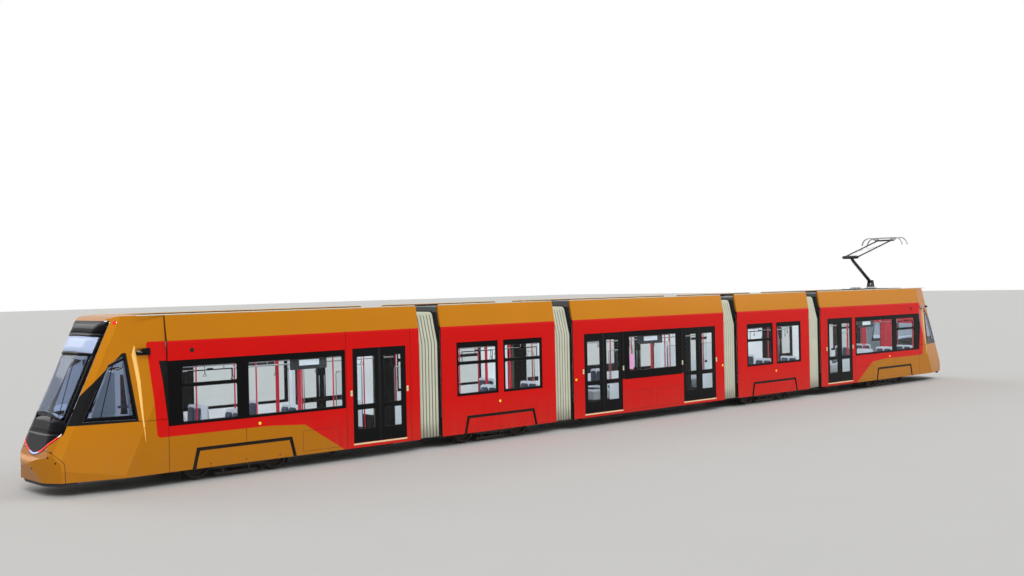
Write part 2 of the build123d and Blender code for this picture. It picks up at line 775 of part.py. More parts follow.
def marker_openings(gap):
    """Cutters for the round marker lamps at the upper corners of the front."""
    with BuildPart() as cutter:
        with BuildSketch(Plane.YZ.offset(-HALF_LENGTH)):
            with Locations((-MARKER[0], MARKER[1]), (MARKER[0], MARKER[1])):
                Circle(MARKER_RADIUS - gap)
        extrude(amount=CROWN.back + SCREEN_SAG)
    return cutter.part


def cab_side_openings(gap):
    """Cutters for the slanted windows on both sides of the cab."""
    with BuildPart() as cutter:
        with BuildSketch(Plane.XZ.offset(MASK_LOW[0] + SCREEN_THICK)):
            face([nose_at(corner) for corner in CAB_WINDOW])
            draw_in(gap)
        extrude(amount=HALF_WIDTH)
        mirror(about=Plane.XZ)
    return cutter.part


def rear_cameras():
    """Small pointed housings on both sides of the cab that look back along the tram."""
    for side in (-1, 1):
        with BuildSketch(Plane.XZ.offset(-side * CAMERA_INNER)) as profile:
            face([nose_at(corner) for corner in CAMERA])
        extrude(profile.sketch, amount=CAMERA_OUTER - CAMERA_INNER, dir=(0, side, 0))


def cab_nose():
    """The painted cab shell with its openings, the black panel and side glass, and the flush lamps."""
    outer = nose_form(0, SEAM_OVERRUN)
    inner = nose_form(WALL, SEAM_OVERRUN + WALL)
    skin = nose_form(SCREEN_THICK, SEAM_OVERRUN + WALL)
    with BuildPart() as shell:
        add(outer)
        add(inner, mode=Mode.SUBTRACT)
        block(
            (-HALF_LENGTH - WALL, -CAB_SEAM),
            (-HALF_WIDTH, HALF_WIDTH),
            (SKIRT_BOTTOM, FAIRING_TOP),
            mode=Mode.INTERSECT,
        )
        add(front_openings(0, False), mode=Mode.SUBTRACT)
        add(cab_side_openings(0), mode=Mode.SUBTRACT)
        add(marker_openings(0), mode=Mode.SUBTRACT)
        rear_cameras()
    with BuildPart() as screen:
        add(front_openings(SEAT_GAP, False))
        add(front_openings(0, True), mode=Mode.SUBTRACT)
        add(cab_side_openings(SEAT_GAP))
        add(outer, mode=Mode.INTERSECT)
        add(skin, mode=Mode.SUBTRACT)
    with BuildPart() as lamps:
        add(front_openings(SEAT_GAP, True))
        add(marker_openings(SEAT_GAP))
        add(outer, mode=Mode.INTERSECT)
        add(skin, mode=Mode.SUBTRACT)
    return shell.part, screen.part, lamps.part


def flat_profile(x0, x1):
    """A level low floor."""
    return [(x0, UNDER_LOW), (x1, UNDER_LOW), (x1, LOW_FLOOR), (x0, LOW_FLOOR)]


def car_floor(x0, x1, low_ends, bogie, full_strips):
    """The floor: an aisle ramped over the bogie, wide strips beside it and boxes over the wheels."""
    with BuildPart() as floor:
        with BuildSketch(Plane.XZ.offset(-AISLE_HALF)):
            face(ramp_profile(x0, x1, low_ends) if bogie is not None else flat_profile(x0, x1))
        extrude(amount=2 * AISLE_HALF)
        for start, end, top, thick in full_strips:
            block((start, end), (-INNER_HALF, INNER_HALF), (top - thick, top))
        if bogie is not None:
            podiums(bogie)
            kingpin(bogie)
    return floor.part


# A seat is where its back stands, its two sides, which way it faces and what height it stands on
Seat = namedtuple("Seat", "x y0 y1 facing base")


def seat(row):
    """A bench for one or two: a pan with a rounded front edge and a back that leans, in one piece."""

    def at(forward, up):
        return (row.x + row.facing * forward, row.base + up)

    shoulder = SEAT_BACK - SEAT_EDGE
    crook = at(SEAT_CROOK, SEAT_PAN - SEAT_EDGE / 2)
    with BuildSketch(Plane.XZ.offset(-row.y0)) as side:
        with BuildLine():
            Polyline(crook, at(SEAT_DEPTH - SEAT_EDGE, SEAT_PAN))
            front = SEAT_DEPTH - SEAT_EDGE
            ThreePointArc(at(front, SEAT_PAN), at(SEAT_DEPTH, SEAT_PAN / 2), at(front, 0))
            Polyline(at(SEAT_DEPTH - SEAT_EDGE, 0), at(0, 0), at(0, shoulder))
            ThreePointArc(at(0, shoulder), at(SEAT_HEAD / 2, SEAT_BACK), at(SEAT_HEAD, shoulder))
            ThreePointArc(at(SEAT_HEAD, shoulder), at(SEAT_LEAN, SEAT_BACK / 2), crook)
        make_face()
    extrude(side.sketch, amount=row.y0 - row.y1, dir=(0, -1, 0))


def podium_seats(bogie):
    """Four rows of benches over the wheels, facing each other in pairs."""
    far = PODIUM_HALF - SEAT_PAIR_GAP
    rows = [(-far, 1), (-SEAT_PAIR_GAP, -1), (SEAT_PAIR_GAP, 1), (far, -1)]
    inner = AISLE_HALF + SEAT_FROM_AISLE
    outer = INNER_HALF - SEAT_FROM_WALL
    return [
        Seat(bogie + x, side * inner, side * outer, facing, PODIUM_TOP)
        for x, facing in rows for side in (-1, 1)
    ]


def ceiling_section():
    """The ceiling's section: flat over the aisle and sloping down to the walls."""
    edge = CEILING - CEILING_DROP
    return [
        (-INNER_HALF, edge), (-CEILING_HALF, CEILING), (CEILING_HALF, CEILING), (INNER_HALF, edge),
        (INNER_HALF, edge + CEILING_THICK), (CEILING_HALF, CEILING + CEILING_THICK),
        (-CEILING_HALF, CEILING + CEILING_THICK), (-INNER_HALF, edge + CEILING_THICK),
    ]


def car_interior(x0, x1, seats, poles):
    """The ceiling with its poles, and the seats."""
    with BuildPart() as inside:
        with BuildSketch(Plane.YZ.offset(x0)):
            face(ceiling_section())
        extrude(amount=x1 - x0)
        for x, y, foot in poles:
            head = CEILING + CEILING_THICK / 3
            with Locations((x, y, (foot + SEAT_GAP + head) / 2)):
                Cylinder(POLE_RADIUS, head - foot - SEAT_GAP)
        for row in seats:
            seat(row)
    return inside.part


def cab_fittings():
    """The wall behind the driver with its window, the driver's seat on its post, and the desk."""
    wall_x = -CAB_SEAM - PARTITION - SEAT_GAP
    y0, y1, z0, z1 = PARTITION_WINDOW
    seat_row = Seat(
        DRIVER_SEAT_BACK - HALF_LENGTH, -DRIVER_SEAT_HALF, DRIVER_SEAT_HALF, -1, DRIVER_SEAT_BASE
    )
    post = seat_row.x - SEAT_DEPTH / 2
    inside = nose_form(WALL + SEAT_GAP, SEAM_OVERRUN)
    with BuildPart() as fittings:
        with BuildSketch(Plane.YZ.offset(wall_x)):
            face([(-INNER_HALF, HIGH_FLOOR), (INNER_HALF, HIGH_FLOOR)] + ceiling_section()[4:])
            for side in (-1, 1):
                face([(side * y0, z0), (side * y1, z0), (side * y1, z1), (side * y0, z1)], mode=Mode.SUBTRACT)
        extrude(amount=PARTITION)
        with BuildSketch(Plane.XZ.offset(-DESK_HALF)):
            face([nose_at(corner) for corner in DESK])
        extrude(amount=2 * DESK_HALF)
        add(inside, mode=Mode.INTERSECT)
        seat(seat_row)
        with Locations((post, 0, (HIGH_FLOOR + DRIVER_SEAT_BASE) / 2)):
            Cylinder(PEDESTAL_RADIUS, DRIVER_SEAT_BASE - HIGH_FLOOR)
    return fittings.part


# A case of roof equipment: its two ends, half its width, its height and how many fans are in its lid
Case = namedtuple("Case", "start end half height fans")


def fan_well(x, top):
    """A round well in a case's lid with a fan's hub and blades in it."""
    with Locations((x, 0, top)):
        Cylinder(FAN_RADIUS, 2 * FAN_DEPTH, mode=Mode.SUBTRACT)
    with Locations((x, 0, top - FAN_DEPTH / 2)):
        Cylinder(FAN_HUB, FAN_DEPTH)
        with PolarLocations(FAN_RADIUS / 2, FAN_BLADES):
            Box(FAN_RADIUS, FAN_HUB, FAN_DEPTH / 6, rotation=(20, 0, 0))


def roof_gear(cases):
    """Equipment cases on the roof deck, with grilles in their sides and fans in their lids."""
    with BuildPart() as gear:
        for case in cases:
            top = ROOF_DECK + case.height
            middle = (case.start + case.end) / 2
            length = case.end - case.start
            slots = int((length - 2 * GRILLE_MARGIN) / GRILLE_PITCH)
            with BuildSketch(Plane.YZ.offset(case.start)):
                face([
                    (-case.half, ROOF_DECK), (0, ROOF_DECK), (0, top),
                    (GEAR_CHAMFER - case.half, top), (-case.half, top - GEAR_CHAMFER),
                ])
            extrude(amount=length)
            with BuildSketch(Plane.XZ.offset(case.half)):
                with Locations((middle, ROOF_DECK + case.height / 2)):
                    with GridLocations(GRILLE_PITCH, 0, slots, 1):
                        Rectangle(GRILLE_SLOT, case.height - 2 * GRILLE_MARGIN)
            extrude(amount=-GRILLE_DEPTH, mode=Mode.SUBTRACT)
        mirror(about=Plane.XZ)
        for case in cases:
            for fan in range(case.fans):
                reach = (case.end - case.start) / case.fans
                fan_well(case.start + reach * (fan + 0.5), ROOF_DECK + case.height)
    return gear.part


def wheelset():
    """Two flanged wheels pressed on one axle, with journals outside the wheels."""
    back = WHEEL_BACK
    front = WHEEL_BACK + WHEEL_WIDTH
    rim = WHEEL_RADIUS - RIM_DEPTH
    tip = WHEEL_RADIUS + FLANGE_DEPTH
    web = (back + 38, back + 72)
    end = BEAM_INNER + BEAM_WIDTH
    half = [
        (0, 0), (0, AXLE_RADIUS), (back - 15, AXLE_RADIUS), (back - 15, HUB_RADIUS), (web[0], HUB_RADIUS + 8),
        (web[0], rim - 8), (back, rim), (back, tip - 8), (back + 8, tip), (back + 24, tip - 4),
        (back + 36, WHEEL_RADIUS + 4), (back + 52, WHEEL_RADIUS), (front, WHEEL_RADIUS - 4), (front, rim),
        (web[1], rim - 8), (web[1], HUB_RADIUS + 8), (front + 8, HUB_RADIUS), (front + 8, JOURNAL_RADIUS),
        (end, JOURNAL_RADIUS), (end, 0),
    ]
    with BuildPart() as axle:
        with BuildSketch(Plane.YZ):
            face([(y, AXLE_HEIGHT + r) for y, r in half])
            mirror(about=Plane.YZ)
        revolve(axis=Axis((0, 0, AXLE_HEIGHT), (0, 1, 0)))
    return axle.part


def spring(x, y, low, high):
    """An upright spring: a core with the coils round it, on a seat and under a cap."""
    pitch = (high - low - SPRING_COIL) / (SPRING_COILS - 1)
    with Locations((x, y, (low + high) / 2)):
        Cylinder(SPRING_NECK, high - low)
    with Locations(*[(x, y, low + SPRING_COIL / 2 + coil * pitch) for coil in range(SPRING_COILS)]):
        Cylinder(SPRING_RADIUS, SPRING_COIL)


def bogie_frame():
    """Outside side beams with axle boxes, transoms, the pivot ring, springs, motors and track brakes."""
    half_base = WHEELBASE / 2
    ends = half_base + BOX_HALF + BEAM_END
    under_podium = PODIUM_TOP - PODIUM_PLATE - SEAT_GAP
    drop_low = AXLE_HEIGHT - 130
    drop_high = AXLE_HEIGHT - 20
    foot = AXLE_HEIGHT - BOX_HALF
    horn = AXLE_HEIGHT + 110
    beam = [
        (-ends, foot), (150 - half_base, foot), (-520, drop_low), (520, drop_low), (half_base - 150, foot),
        (ends, foot), (ends, horn), (half_base - 170, horn), (500, drop_high), (-500, drop_high),
        (170 - half_base, horn), (-ends, horn),
    ]
    middle = BEAM_INNER + BEAM_WIDTH / 2
    with BuildPart() as frame:
        with BuildSketch(Plane.XZ.offset(BEAM_INNER)):
            face(beam)
            with Locations((-half_base, AXLE_HEIGHT), (half_base, AXLE_HEIGHT)):
                Circle(JOURNAL_RADIUS + JOURNAL_CLEARANCE, mode=Mode.SUBTRACT)
        extrude(amount=BEAM_WIDTH)
        for x in (-SPRING_X, SPRING_X):
            spring(x, -middle, drop_high, under_podium)
            hanger_sides = (-SHOE_Y - HANGER / 2, -SHOE_Y + HANGER / 2)
            block((x - HANGER / 2, x + HANGER / 2), hanger_sides, (SHOE_HIGH, TRANSOM_LOW))
        shoe_sides = (-SHOE_Y - SHOE_WIDTH / 2, -SHOE_Y + SHOE_WIDTH / 2)
        block((-SHOE_HALF, SHOE_HALF), shoe_sides, (SHOE_LOW, SHOE_HIGH))
        with Locations((0, -MOTOR_Y, MOTOR_HEIGHT)):
            Cylinder(MOTOR_RADIUS, 2 * MOTOR_HALF, rotation=(0, 90, 0))
        mirror(about=Plane.XZ)
        for x in (-TRANSOM_X, TRANSOM_X):
            beam_ends = (-BEAM_INNER - LAP, BEAM_INNER + LAP)
            block((x - TRANSOM_HALF, x + TRANSOM_HALF), beam_ends, (TRANSOM_LOW, TRANSOM_HIGH))
        ring_height = (TRANSOM_LOW + HANGER / 5, TRANSOM_HIGH - HANGER / 5)
        block((-TRANSOM_X, TRANSOM_X), (-KINGPIN_RING, KINGPIN_RING), ring_height)
        with Locations((0, 0, (TRANSOM_LOW + TRANSOM_HIGH) / 2)):
            Cylinder(KINGPIN_RADIUS + JOURNAL_CLEARANCE, 2 * TRANSOM_HIGH, mode=Mode.SUBTRACT)
    return frame.part


def panto_base():
    """Four insulators on the roof deck, the frame on them and the ears that hold the arm's pivot."""
    x, z = PANTO_PIVOT
    x0 = x - PANTO_FRAME_BEHIND
    x1 = x + PANTO_FRAME_AHEAD
    length = x1 - x0
    width = 2 * PANTO_FRAME_HALF
    foot = PANTO_FRAME_LOW + PANTO_RAIL_DEEP - LAP
    with BuildPart() as base:
        with Locations(((x0 + x1) / 2, 0, (ROOF_DECK + PANTO_FRAME_LOW) / 2)):
            with GridLocations(length - 2 * INSULATOR_IN, width - 2 * INSULATOR_IN, 2, 2):
                Cylinder(INSULATOR_RADIUS, PANTO_FRAME_LOW - ROOF_DECK)
        with BuildSketch(Plane.XY.offset(PANTO_FRAME_LOW)):
            with Locations(((x0 + x1) / 2, 0)):
                Rectangle(length, width)
                Rectangle(length - 2 * PANTO_RAIL, width - 2 * PANTO_RAIL, mode=Mode.SUBTRACT)
            with Locations((x, 0)):
                Rectangle(2 * PANTO_RAIL, width)
        extrude(amount=PANTO_RAIL_DEEP)
        with BuildSketch(Plane.XZ.offset(-EAR_INNER - EAR_THICK)):
            face([
                (x - EAR_FOOT, foot), (x + EAR_FOOT, foot),
                (x + EAR_TOP, z + EAR_TOP), (x - EAR_TOP, z + EAR_TOP),
            ])
            with Locations((x, z)):
                Circle(PIN_RADIUS + JOURNAL_CLEARANCE, mode=Mode.SUBTRACT)
        extrude(amount=EAR_THICK)
        mirror(about=Plane.XZ)
    return base.part


def arm_between(start, end, radius, y):
    """A round tube in the plane Y = y from start to end, both given as (x, z)."""
    along = Vector(end[0] - start[0], 0, end[1] - start[1])
    foot = Plane(origin=(start[0], y, start[1]), x_dir=(0, 1, 0), z_dir=along)
    with BuildSketch(foot) as section:
        Circle(radius)
    extrude(section.sketch, amount=along.length)


def cross_tube(place, radius, half, mode=Mode.ADD):
    """A round bar across the tram, centred on it."""
    with Locations((place[0], 0, place[1])):
        Cylinder(radius, 2 * half, rotation=(90, 0, 0), mode=mode)


def panto_lower():
    """The lower arm with its pivot pin and the long knee pin."""
    with BuildPart() as arm:
        arm_between(PANTO_PIVOT, PANTO_KNEE, ARM_TUBE, 0)
        cross_tube(PANTO_PIVOT, ARM_TUBE + PIN_HUB, EAR_INNER - SEAT_GAP)
        cross_tube(PANTO_PIVOT, PIN_RADIUS, EAR_INNER + EAR_THICK + PIN_HUB)
        cross_tube(PANTO_KNEE, ARM_TUBE + PIN_HUB, KNEE_HUB_INNER - SEAT_GAP)
        cross_tube(PANTO_KNEE, PIN_RADIUS, KNEE_HUB_OUTER + PIN_HUB)
    return arm.part


def panto_upper():
    """The upper arm: two tubes from the knee hubs to a cross tube with the head's pins."""
    hub = (KNEE_HUB_INNER + KNEE_HUB_OUTER) / 2
    with BuildPart() as arm:
        for side in (-1, 1):
            with Locations((PANTO_KNEE[0], side * hub, PANTO_KNEE[1])):
                Cylinder(PIN_RADIUS + UPPER_TUBE, KNEE_HUB_OUTER - KNEE_HUB_INNER, rotation=(90, 0, 0))
            arm_between(PANTO_KNEE, PANTO_HEAD, UPPER_TUBE, side * hub)
        cross_tube(PANTO_HEAD, UPPER_TUBE + PIN_HUB / 2, KNEE_HUB_OUTER)
        cross_tube(PANTO_HEAD, HEAD_PIN_RADIUS, HEAD_HUB_OUTER + PIN_HUB)
        cross_tube(PANTO_KNEE, PIN_RADIUS + JOURNAL_CLEARANCE, HALF_WIDTH, mode=Mode.SUBTRACT)
    return arm.part


def panto_head():
    """Two contact strips with down-turned horns, on cross bars with the pivot hubs."""
    x, z = PANTO_HEAD
    under = z + STRIP_RISE
    top = under + STRIP_THICK
    tip = STRIP_HALF + HORN_REACH
    drop = under - HORN_DROP
    hub = (HEAD_HUB_INNER + HEAD_HUB_OUTER) / 2
    with BuildPart() as head:
        for side in (-1, 1):
            hub_sides = (side * HEAD_HUB_INNER, side * HEAD_HUB_OUTER)
            with Locations((x, side * hub, z)):
                Cylinder(HEAD_PIN_RADIUS + UPPER_TUBE, HEAD_HUB_OUTER - HEAD_HUB_INNER, rotation=(90, 0, 0))
            block((x - STRIP_SPREAD, x + STRIP_SPREAD), hub_sides, (z + HEAD_PIN_RADIUS, under + LAP))
        cross_tube(PANTO_HEAD, HEAD_PIN_RADIUS + JOURNAL_CLEARANCE, HALF_WIDTH, mode=Mode.SUBTRACT)
        for along in (-STRIP_SPREAD, STRIP_SPREAD):
            with BuildSketch(Plane.YZ.offset(x + along - STRIP_WIDTH / 2)) as strip:
                with BuildLine():
                    Line((-STRIP_HALF, top), (STRIP_HALF, top))
                    RadiusArc((STRIP_HALF, top), (tip, drop), HORN_RADIUS)
                    Line((tip, drop), (tip - HORN_TIP, drop))
                    RadiusArc((tip - HORN_TIP, drop), (STRIP_HALF, under), HORN_TIP - HORN_RADIUS)
                    Line((STRIP_HALF, under), (-STRIP_HALF, under))
                    RadiusArc((-STRIP_HALF, under), (HORN_TIP - tip, drop), HORN_TIP - HORN_RADIUS)
                    Line((HORN_TIP - tip, drop), (-tip, drop))
                    RadiusArc((-tip, drop), (-STRIP_HALF, top), HORN_RADIUS)
                make_face()
            extrude(strip.sketch, amount=STRIP_WIDTH)
    return head.part


# Car c, in the middle: level low floor between two doorways on each side
c_ends = [(-CAR_C_HALF, 1), (CAR_C_HALF, -1)]
c_doors = [-C_DOOR, C_DOOR]
keep(car_walls(-CAR_C_HALF, CAR_C_HALF, C_WINDOWS, c_doors, [], c_ends), "car_c_walls")
keep(car_windows(C_WINDOWS), "car_c_windows")
keep(car_doors(c_doors), "car_c_doors")
c_links = [(-PIVOT_BC, 1, False), (PIVOT_BC, -1, False)]
keep(car_roof(-CAR_C_HALF, CAR_C_HALF, c_ends, c_links), "car_c_roof")
c_pole = DOOR_WIDTH / 2 + POLE_FROM_DOOR
c_poles = [
    (door + along, side * DOOR_POLE_SIDE, LOW_FLOOR)
    for door in c_doors for along in (-c_pole, c_pole) for side in (-1, 1)
]
c_seats = [
    Seat(f * C_SEAT_BACK, side * C_SEAT_INNER, side * (INNER_HALF - SEAT_FROM_WALL), f, LOW_FLOOR + SEAT_BOX)
    for f in (-1, 1) for side in (-1, 1)
]
with BuildPart() as c_floor:
    add(car_floor(-CAR_C_HALF, CAR_C_HALF, {}, None, [(-CAR_C_HALF, CAR_C_HALF, LOW_FLOOR, FLOOR_THICK)]))
    for row in c_seats:
        seat_front = row.x + row.facing * (SEAT_DEPTH - SEAT_EDGE)
        block((row.x, seat_front), (row.y0, row.y1), (LOW_FLOOR, row.base))
    jack_pads([-JACK_C, JACK_C])
    underbox(TURNTABLE_RADIUS - CAR_C_HALF, CAR_C_HALF - TURNTABLE_RADIUS)
    turntable(-PIVOT_BC, 1)
    turntable(PIVOT_BC, -1)
keep(c_floor.part, "car_c_floor")
keep(car_interior(-CAR_C_HALF + END_WALL, CAR_C_HALF - END_WALL, c_seats, c_poles), "car_c_interior")
c_gear_end = CAR_C_HALF - ROOF_LINK_REACH - 5 * GEAR_FROM_LINK
c_cases = [
    Case(-c_gear_end, GEAR_C_GAPS[0], GEAR_C_HALVES[0], GEAR_C_HEIGHTS[0], 2),
    Case(GEAR_C_GAPS[1], GEAR_C_GAPS[2], GEAR_C_HALVES[1], GEAR_C_HEIGHTS[1], 0),
    Case(GEAR_C_GAPS[3], c_gear_end, GEAR_C_HALVES[0], GEAR_C_HEIGHTS[2], 1),
]
keep(roof_gear(c_cases), "car_c_roof_gear")

# Cars b and d, on one bogie each
b_ends = [(-CAR_B_OUTER, 1), (-CAR_B_INNER, -1)]
keep_pair(car_walls(-CAR_B_OUTER, -CAR_B_INNER, B_WINDOWS, [], [-BOGIE_B], b_ends), "car_b", "car_d", "walls")
keep(car_windows(B_WINDOWS), "car_b_windows")
keep(car_windows(D_WINDOWS), "car_d_windows")
b_links = [(-PIVOT_BC, -1, True), (-PIVOT_AB, 1, False)]
keep_pair(car_roof(-CAR_B_OUTER, -CAR_B_INNER, b_ends, b_links), "car_b", "car_d", "roof")
low_run = TURNTABLE_RADIUS - GANGWAY_GAP / 2 + TURNTABLE_LANDING
b_strips = [
    (-CAR_B_OUTER, -BOGIE_B - PODIUM_HALF + LAP, LOW_FLOOR, FLOOR_THICK),
    (-BOGIE_B + PODIUM_HALF - LAP, -CAR_B_INNER, LOW_FLOOR, FLOOR_THICK),
]
with BuildPart() as b_floor:
    b_low = {-CAR_B_OUTER: low_run, -CAR_B_INNER: low_run}
    add(car_floor(-CAR_B_OUTER, -CAR_B_INNER, b_low, -BOGIE_B, b_strips))
    turntable_recess(-PIVOT_BC)
    pivot_arm(-PIVOT_BC, -1)
    turntable(-PIVOT_AB, 1)
keep_pair(b_floor.part, "car_b", "car_d", "floor")
aisle_poles = [(x, y) for x in (-700, 700) for y in (-460, 460)]
b_poles = [(x - BOGIE_B, y, HIGH_FLOOR) for x, y in aisle_poles]
b_inside = car_interior(-CAR_B_OUTER + END_WALL, -CAR_B_INNER - END_WALL, podium_seats(-BOGIE_B), b_poles)
keep_pair(b_inside, "car_b", "car_d", "interior")
b_cases = [
    Case(
        -CAR_B_OUTER + ROOF_LINK_REACH + 2 * GEAR_FROM_LINK, -BOGIE_B + GEAR_B_GAP[0],
        GEAR_B_HALVES[0], GEAR_B_HEIGHTS[0], 0,
    ),
    Case(
        -BOGIE_B + GEAR_B_GAP[1], -CAR_B_INNER - ROOF_LINK_REACH - GEAR_FROM_LINK,
        GEAR_B_HALVES[1], GEAR_B_HEIGHTS[1], 1,
    ),
]
keep_pair(roof_gear(b_cases), "car_b", "car_d", "roof_gear")

# Cars a and e, with the cabs
a_walls = car_walls(-CAB_SEAM, -CAR_A_INNER, A_WINDOWS, [A_DOOR], [-BOGIE_A], [(-CAR_A_INNER, -1)])
keep_pair(a_walls, "car_a", "car_e", "walls")
keep_pair(car_windows(A_WINDOWS), "car_a", "car_e", "windows")
keep_pair(car_doors([A_DOOR]), "car_a", "car_e", "doors")
a_ends = [(-CAR_A_INNER, -1), (-CAB_SEAM, 1)]
keep_pair(car_roof(-CAB_SEAM, -CAR_A_INNER, a_ends, [(-PIVOT_AB, -1, True)]), "car_a", "car_e", "roof")
shell, screen, lamps = cab_nose()
keep_pair(shell, "car_a", "car_e", "nose")
keep_pair(screen, "car_a", "car_e", "screen")
keep_pair(lamps, "car_a", "car_e", "lamps")
podium_end = PODIUM_HALF - BOGIE_A
ramp_end = podium_end + RAMP_LANDING + RAMP
a_strips = [
    (podium_end - LAP, ramp_end - RAMP, HIGH_FLOOR, HIGH_THICK),
    (ramp_end, -CAR_A_INNER, LOW_FLOOR, FLOOR_THICK),
    (-CAB_SEAM, LAP - BOGIE_A - PODIUM_HALF, HIGH_FLOOR, HIGH_THICK),
]
jack_a = ramp_end + JACK_HALF + JACK_MARGIN
box_end = -PIVOT_AB - TURNTABLE_RADIUS - TURNTABLE_CLEARANCE - PIVOT_ARM_ROOT - JACK_MARGIN
with BuildPart() as cab_floor:
    block((CAB_FLOOR_BACK - HALF_LENGTH, -CAB_SEAM), (-INNER_HALF, INNER_HALF), (UNDER_HIGH, HIGH_FLOOR))
    add(nose_form(WALL + LAP, SEAM_OVERRUN), mode=Mode.INTERSECT)
with BuildPart() as a_floor:
    a_low = {-CAR_A_INNER: -CAR_A_INNER - ramp_end}
    add(car_floor(-CAB_SEAM, -CAR_A_INNER, a_low, -BOGIE_A, a_strips))
    for side in (-1, 1):
        beside_ramp = (side * (AISLE_HALF - LAP), side * INNER_HALF)
        block((ramp_end - RAMP - LAP, ramp_end + LAP), beside_ramp, (UNDER_LOW, HIGH_FLOOR))
    turntable_recess(-PIVOT_AB)
    pivot_arm(-PIVOT_AB, -1)
    add(cab_floor.part)
    tow_bracket()
    jack_pads([jack_a])
    underbox(jack_a + JACK_HALF + JACK_MARGIN, box_end)
keep_pair(a_floor.part, "car_a", "car_e", "floor")
a_pole = DOOR_WIDTH / 2 + POLE_FROM_DOOR
a_poles = [(x - BOGIE_A, y, HIGH_FLOOR) for x, y in aisle_poles]
a_poles += [
    (A_DOOR + along, side * DOOR_POLE_SIDE, LOW_FLOOR)
    for along in (-a_pole, a_pole) for side in (-1, 1)
]
with BuildPart() as a_inside:
    add(car_interior(-CAB_SEAM, -CAR_A_INNER - END_WALL, podium_seats(-BOGIE_A), a_poles))
    add(cab_fittings())
keep_pair(a_inside.part, "car_a", "car_e", "interior")
a_cases = [
    Case(-CAB_SEAM + GEAR_A_FRONT, -CAB_SEAM + GEAR_A_BREAK[0], GEAR_A_HALF, GEAR_A_TALL, 2),
    Case(-CAB_SEAM + GEAR_A_BREAK[1], -CAR_A_INNER - GEAR_A_END, GEAR_A_HALF, GEAR_A_LOW, 0),
]
keep(roof_gear(a_cases), "car_a_roof_gear")
e_case = Case(CAR_A_INNER + GEAR_E[0], CAR_A_INNER + GEAR_E[1], GEAR_A_HALF, GEAR_A_LOW, 2)
keep(roof_gear([e_case]), "car_e_roof_gear")

# Bellows over the four gangways
for name, pivot in (("ab", -PIVOT_AB), ("bc", -PIVOT_BC), ("cd", PIVOT_BC), ("de", PIVOT_AB)):
    keep(bellows(pivot - GANGWAY_GAP / 2 + SEAT_GAP, pivot + GANGWAY_GAP / 2 - SEAT_GAP), f"bellows_{name}")

# Bogies and their wheelsets
frame = bogie_frame()
axle = wheelset()
for letter, centre in (("a", -BOGIE_A), ("b", -BOGIE_B), ("d", BOGIE_B), ("e", BOGIE_A)):
    keep(frame.moved(Location((centre, 0, 0))), f"bogie_{letter}_frame")
    keep(axle.moved(Location((centre - WHEELBASE / 2, 0, 0))), f"wheelset_{letter}1")
    keep(axle.moved(Location((centre + WHEELBASE / 2, 0, 0))), f"wheelset_{letter}2")

# Pantograph on car e
keep(panto_base(), "pantograph_base")
keep(panto_lower(), "pantograph_lower_arm")
keep(panto_upper(), "pantograph_upper_arm")
keep(panto_head(), "pantograph_head")
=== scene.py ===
"""Dresses the five-car low-floor tram: paint, glass, doors, saloons, cabs, gangways, roof and running gear.

Everything is in metres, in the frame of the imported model: X runs along the tram, Z is up, and the tips of
the wheel flanges stand at Z = 0. Cars a and b are made at -X, and their copies turned half round are cars
e and d.
"""

import itertools
import json
import logging
from dataclasses import dataclass, field
from enum import Enum
from functools import cache, partial, partialmethod, reduce
from math import copysign, cos, hypot, pi, radians, sin, sqrt
from typing import Callable, Iterable, Sequence

import bmesh
import bpy
from mathutils import Matrix, Vector
from mathutils.bvhtree import BVHTree

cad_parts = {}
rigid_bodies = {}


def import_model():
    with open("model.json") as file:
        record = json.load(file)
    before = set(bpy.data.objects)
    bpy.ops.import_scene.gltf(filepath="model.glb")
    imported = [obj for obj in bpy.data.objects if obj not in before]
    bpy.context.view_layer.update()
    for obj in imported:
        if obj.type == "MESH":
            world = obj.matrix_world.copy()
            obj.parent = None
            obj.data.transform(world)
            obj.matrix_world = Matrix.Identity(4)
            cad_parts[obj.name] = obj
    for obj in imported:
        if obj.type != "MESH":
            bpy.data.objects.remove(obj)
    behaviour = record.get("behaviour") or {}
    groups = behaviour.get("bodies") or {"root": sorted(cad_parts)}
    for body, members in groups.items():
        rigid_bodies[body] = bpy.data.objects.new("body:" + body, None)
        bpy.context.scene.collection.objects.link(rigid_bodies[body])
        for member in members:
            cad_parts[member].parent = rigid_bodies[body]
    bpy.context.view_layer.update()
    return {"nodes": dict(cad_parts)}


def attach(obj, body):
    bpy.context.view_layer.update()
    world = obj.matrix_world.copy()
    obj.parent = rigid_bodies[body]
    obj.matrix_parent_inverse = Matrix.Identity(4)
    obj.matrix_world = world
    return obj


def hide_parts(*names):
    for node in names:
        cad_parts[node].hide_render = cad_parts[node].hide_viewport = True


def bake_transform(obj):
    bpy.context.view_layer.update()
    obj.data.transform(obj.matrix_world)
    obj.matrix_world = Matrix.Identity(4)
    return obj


for leftover in list(bpy.data.objects):
    bpy.data.objects.remove(leftover)
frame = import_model()

log = logging.getLogger("tram")

Color = tuple[float, float, float]
Spot = tuple[float, float]
Span = tuple[float, float]
Socket = bpy.types.NodeSocket
Tree = bpy.types.NodeTree
HALF_TURN = Matrix.Rotation(pi, 4, "Z")
MIRROR = Matrix.Scale(-1, 4, (0, 1, 0))
SIDES = (-1, 1)
SKIN = 1.2


def srgb(red: int, green: int, blue: int) -> Color:
    """A colour given as it looks on a screen, as linear light."""
    return tuple(
        (c / 255 / 12.92) if c <= 10 else ((c / 255 + 0.055) / 1.055) ** 2.4 for c in (red, green, blue)
    )


# Shader nodes


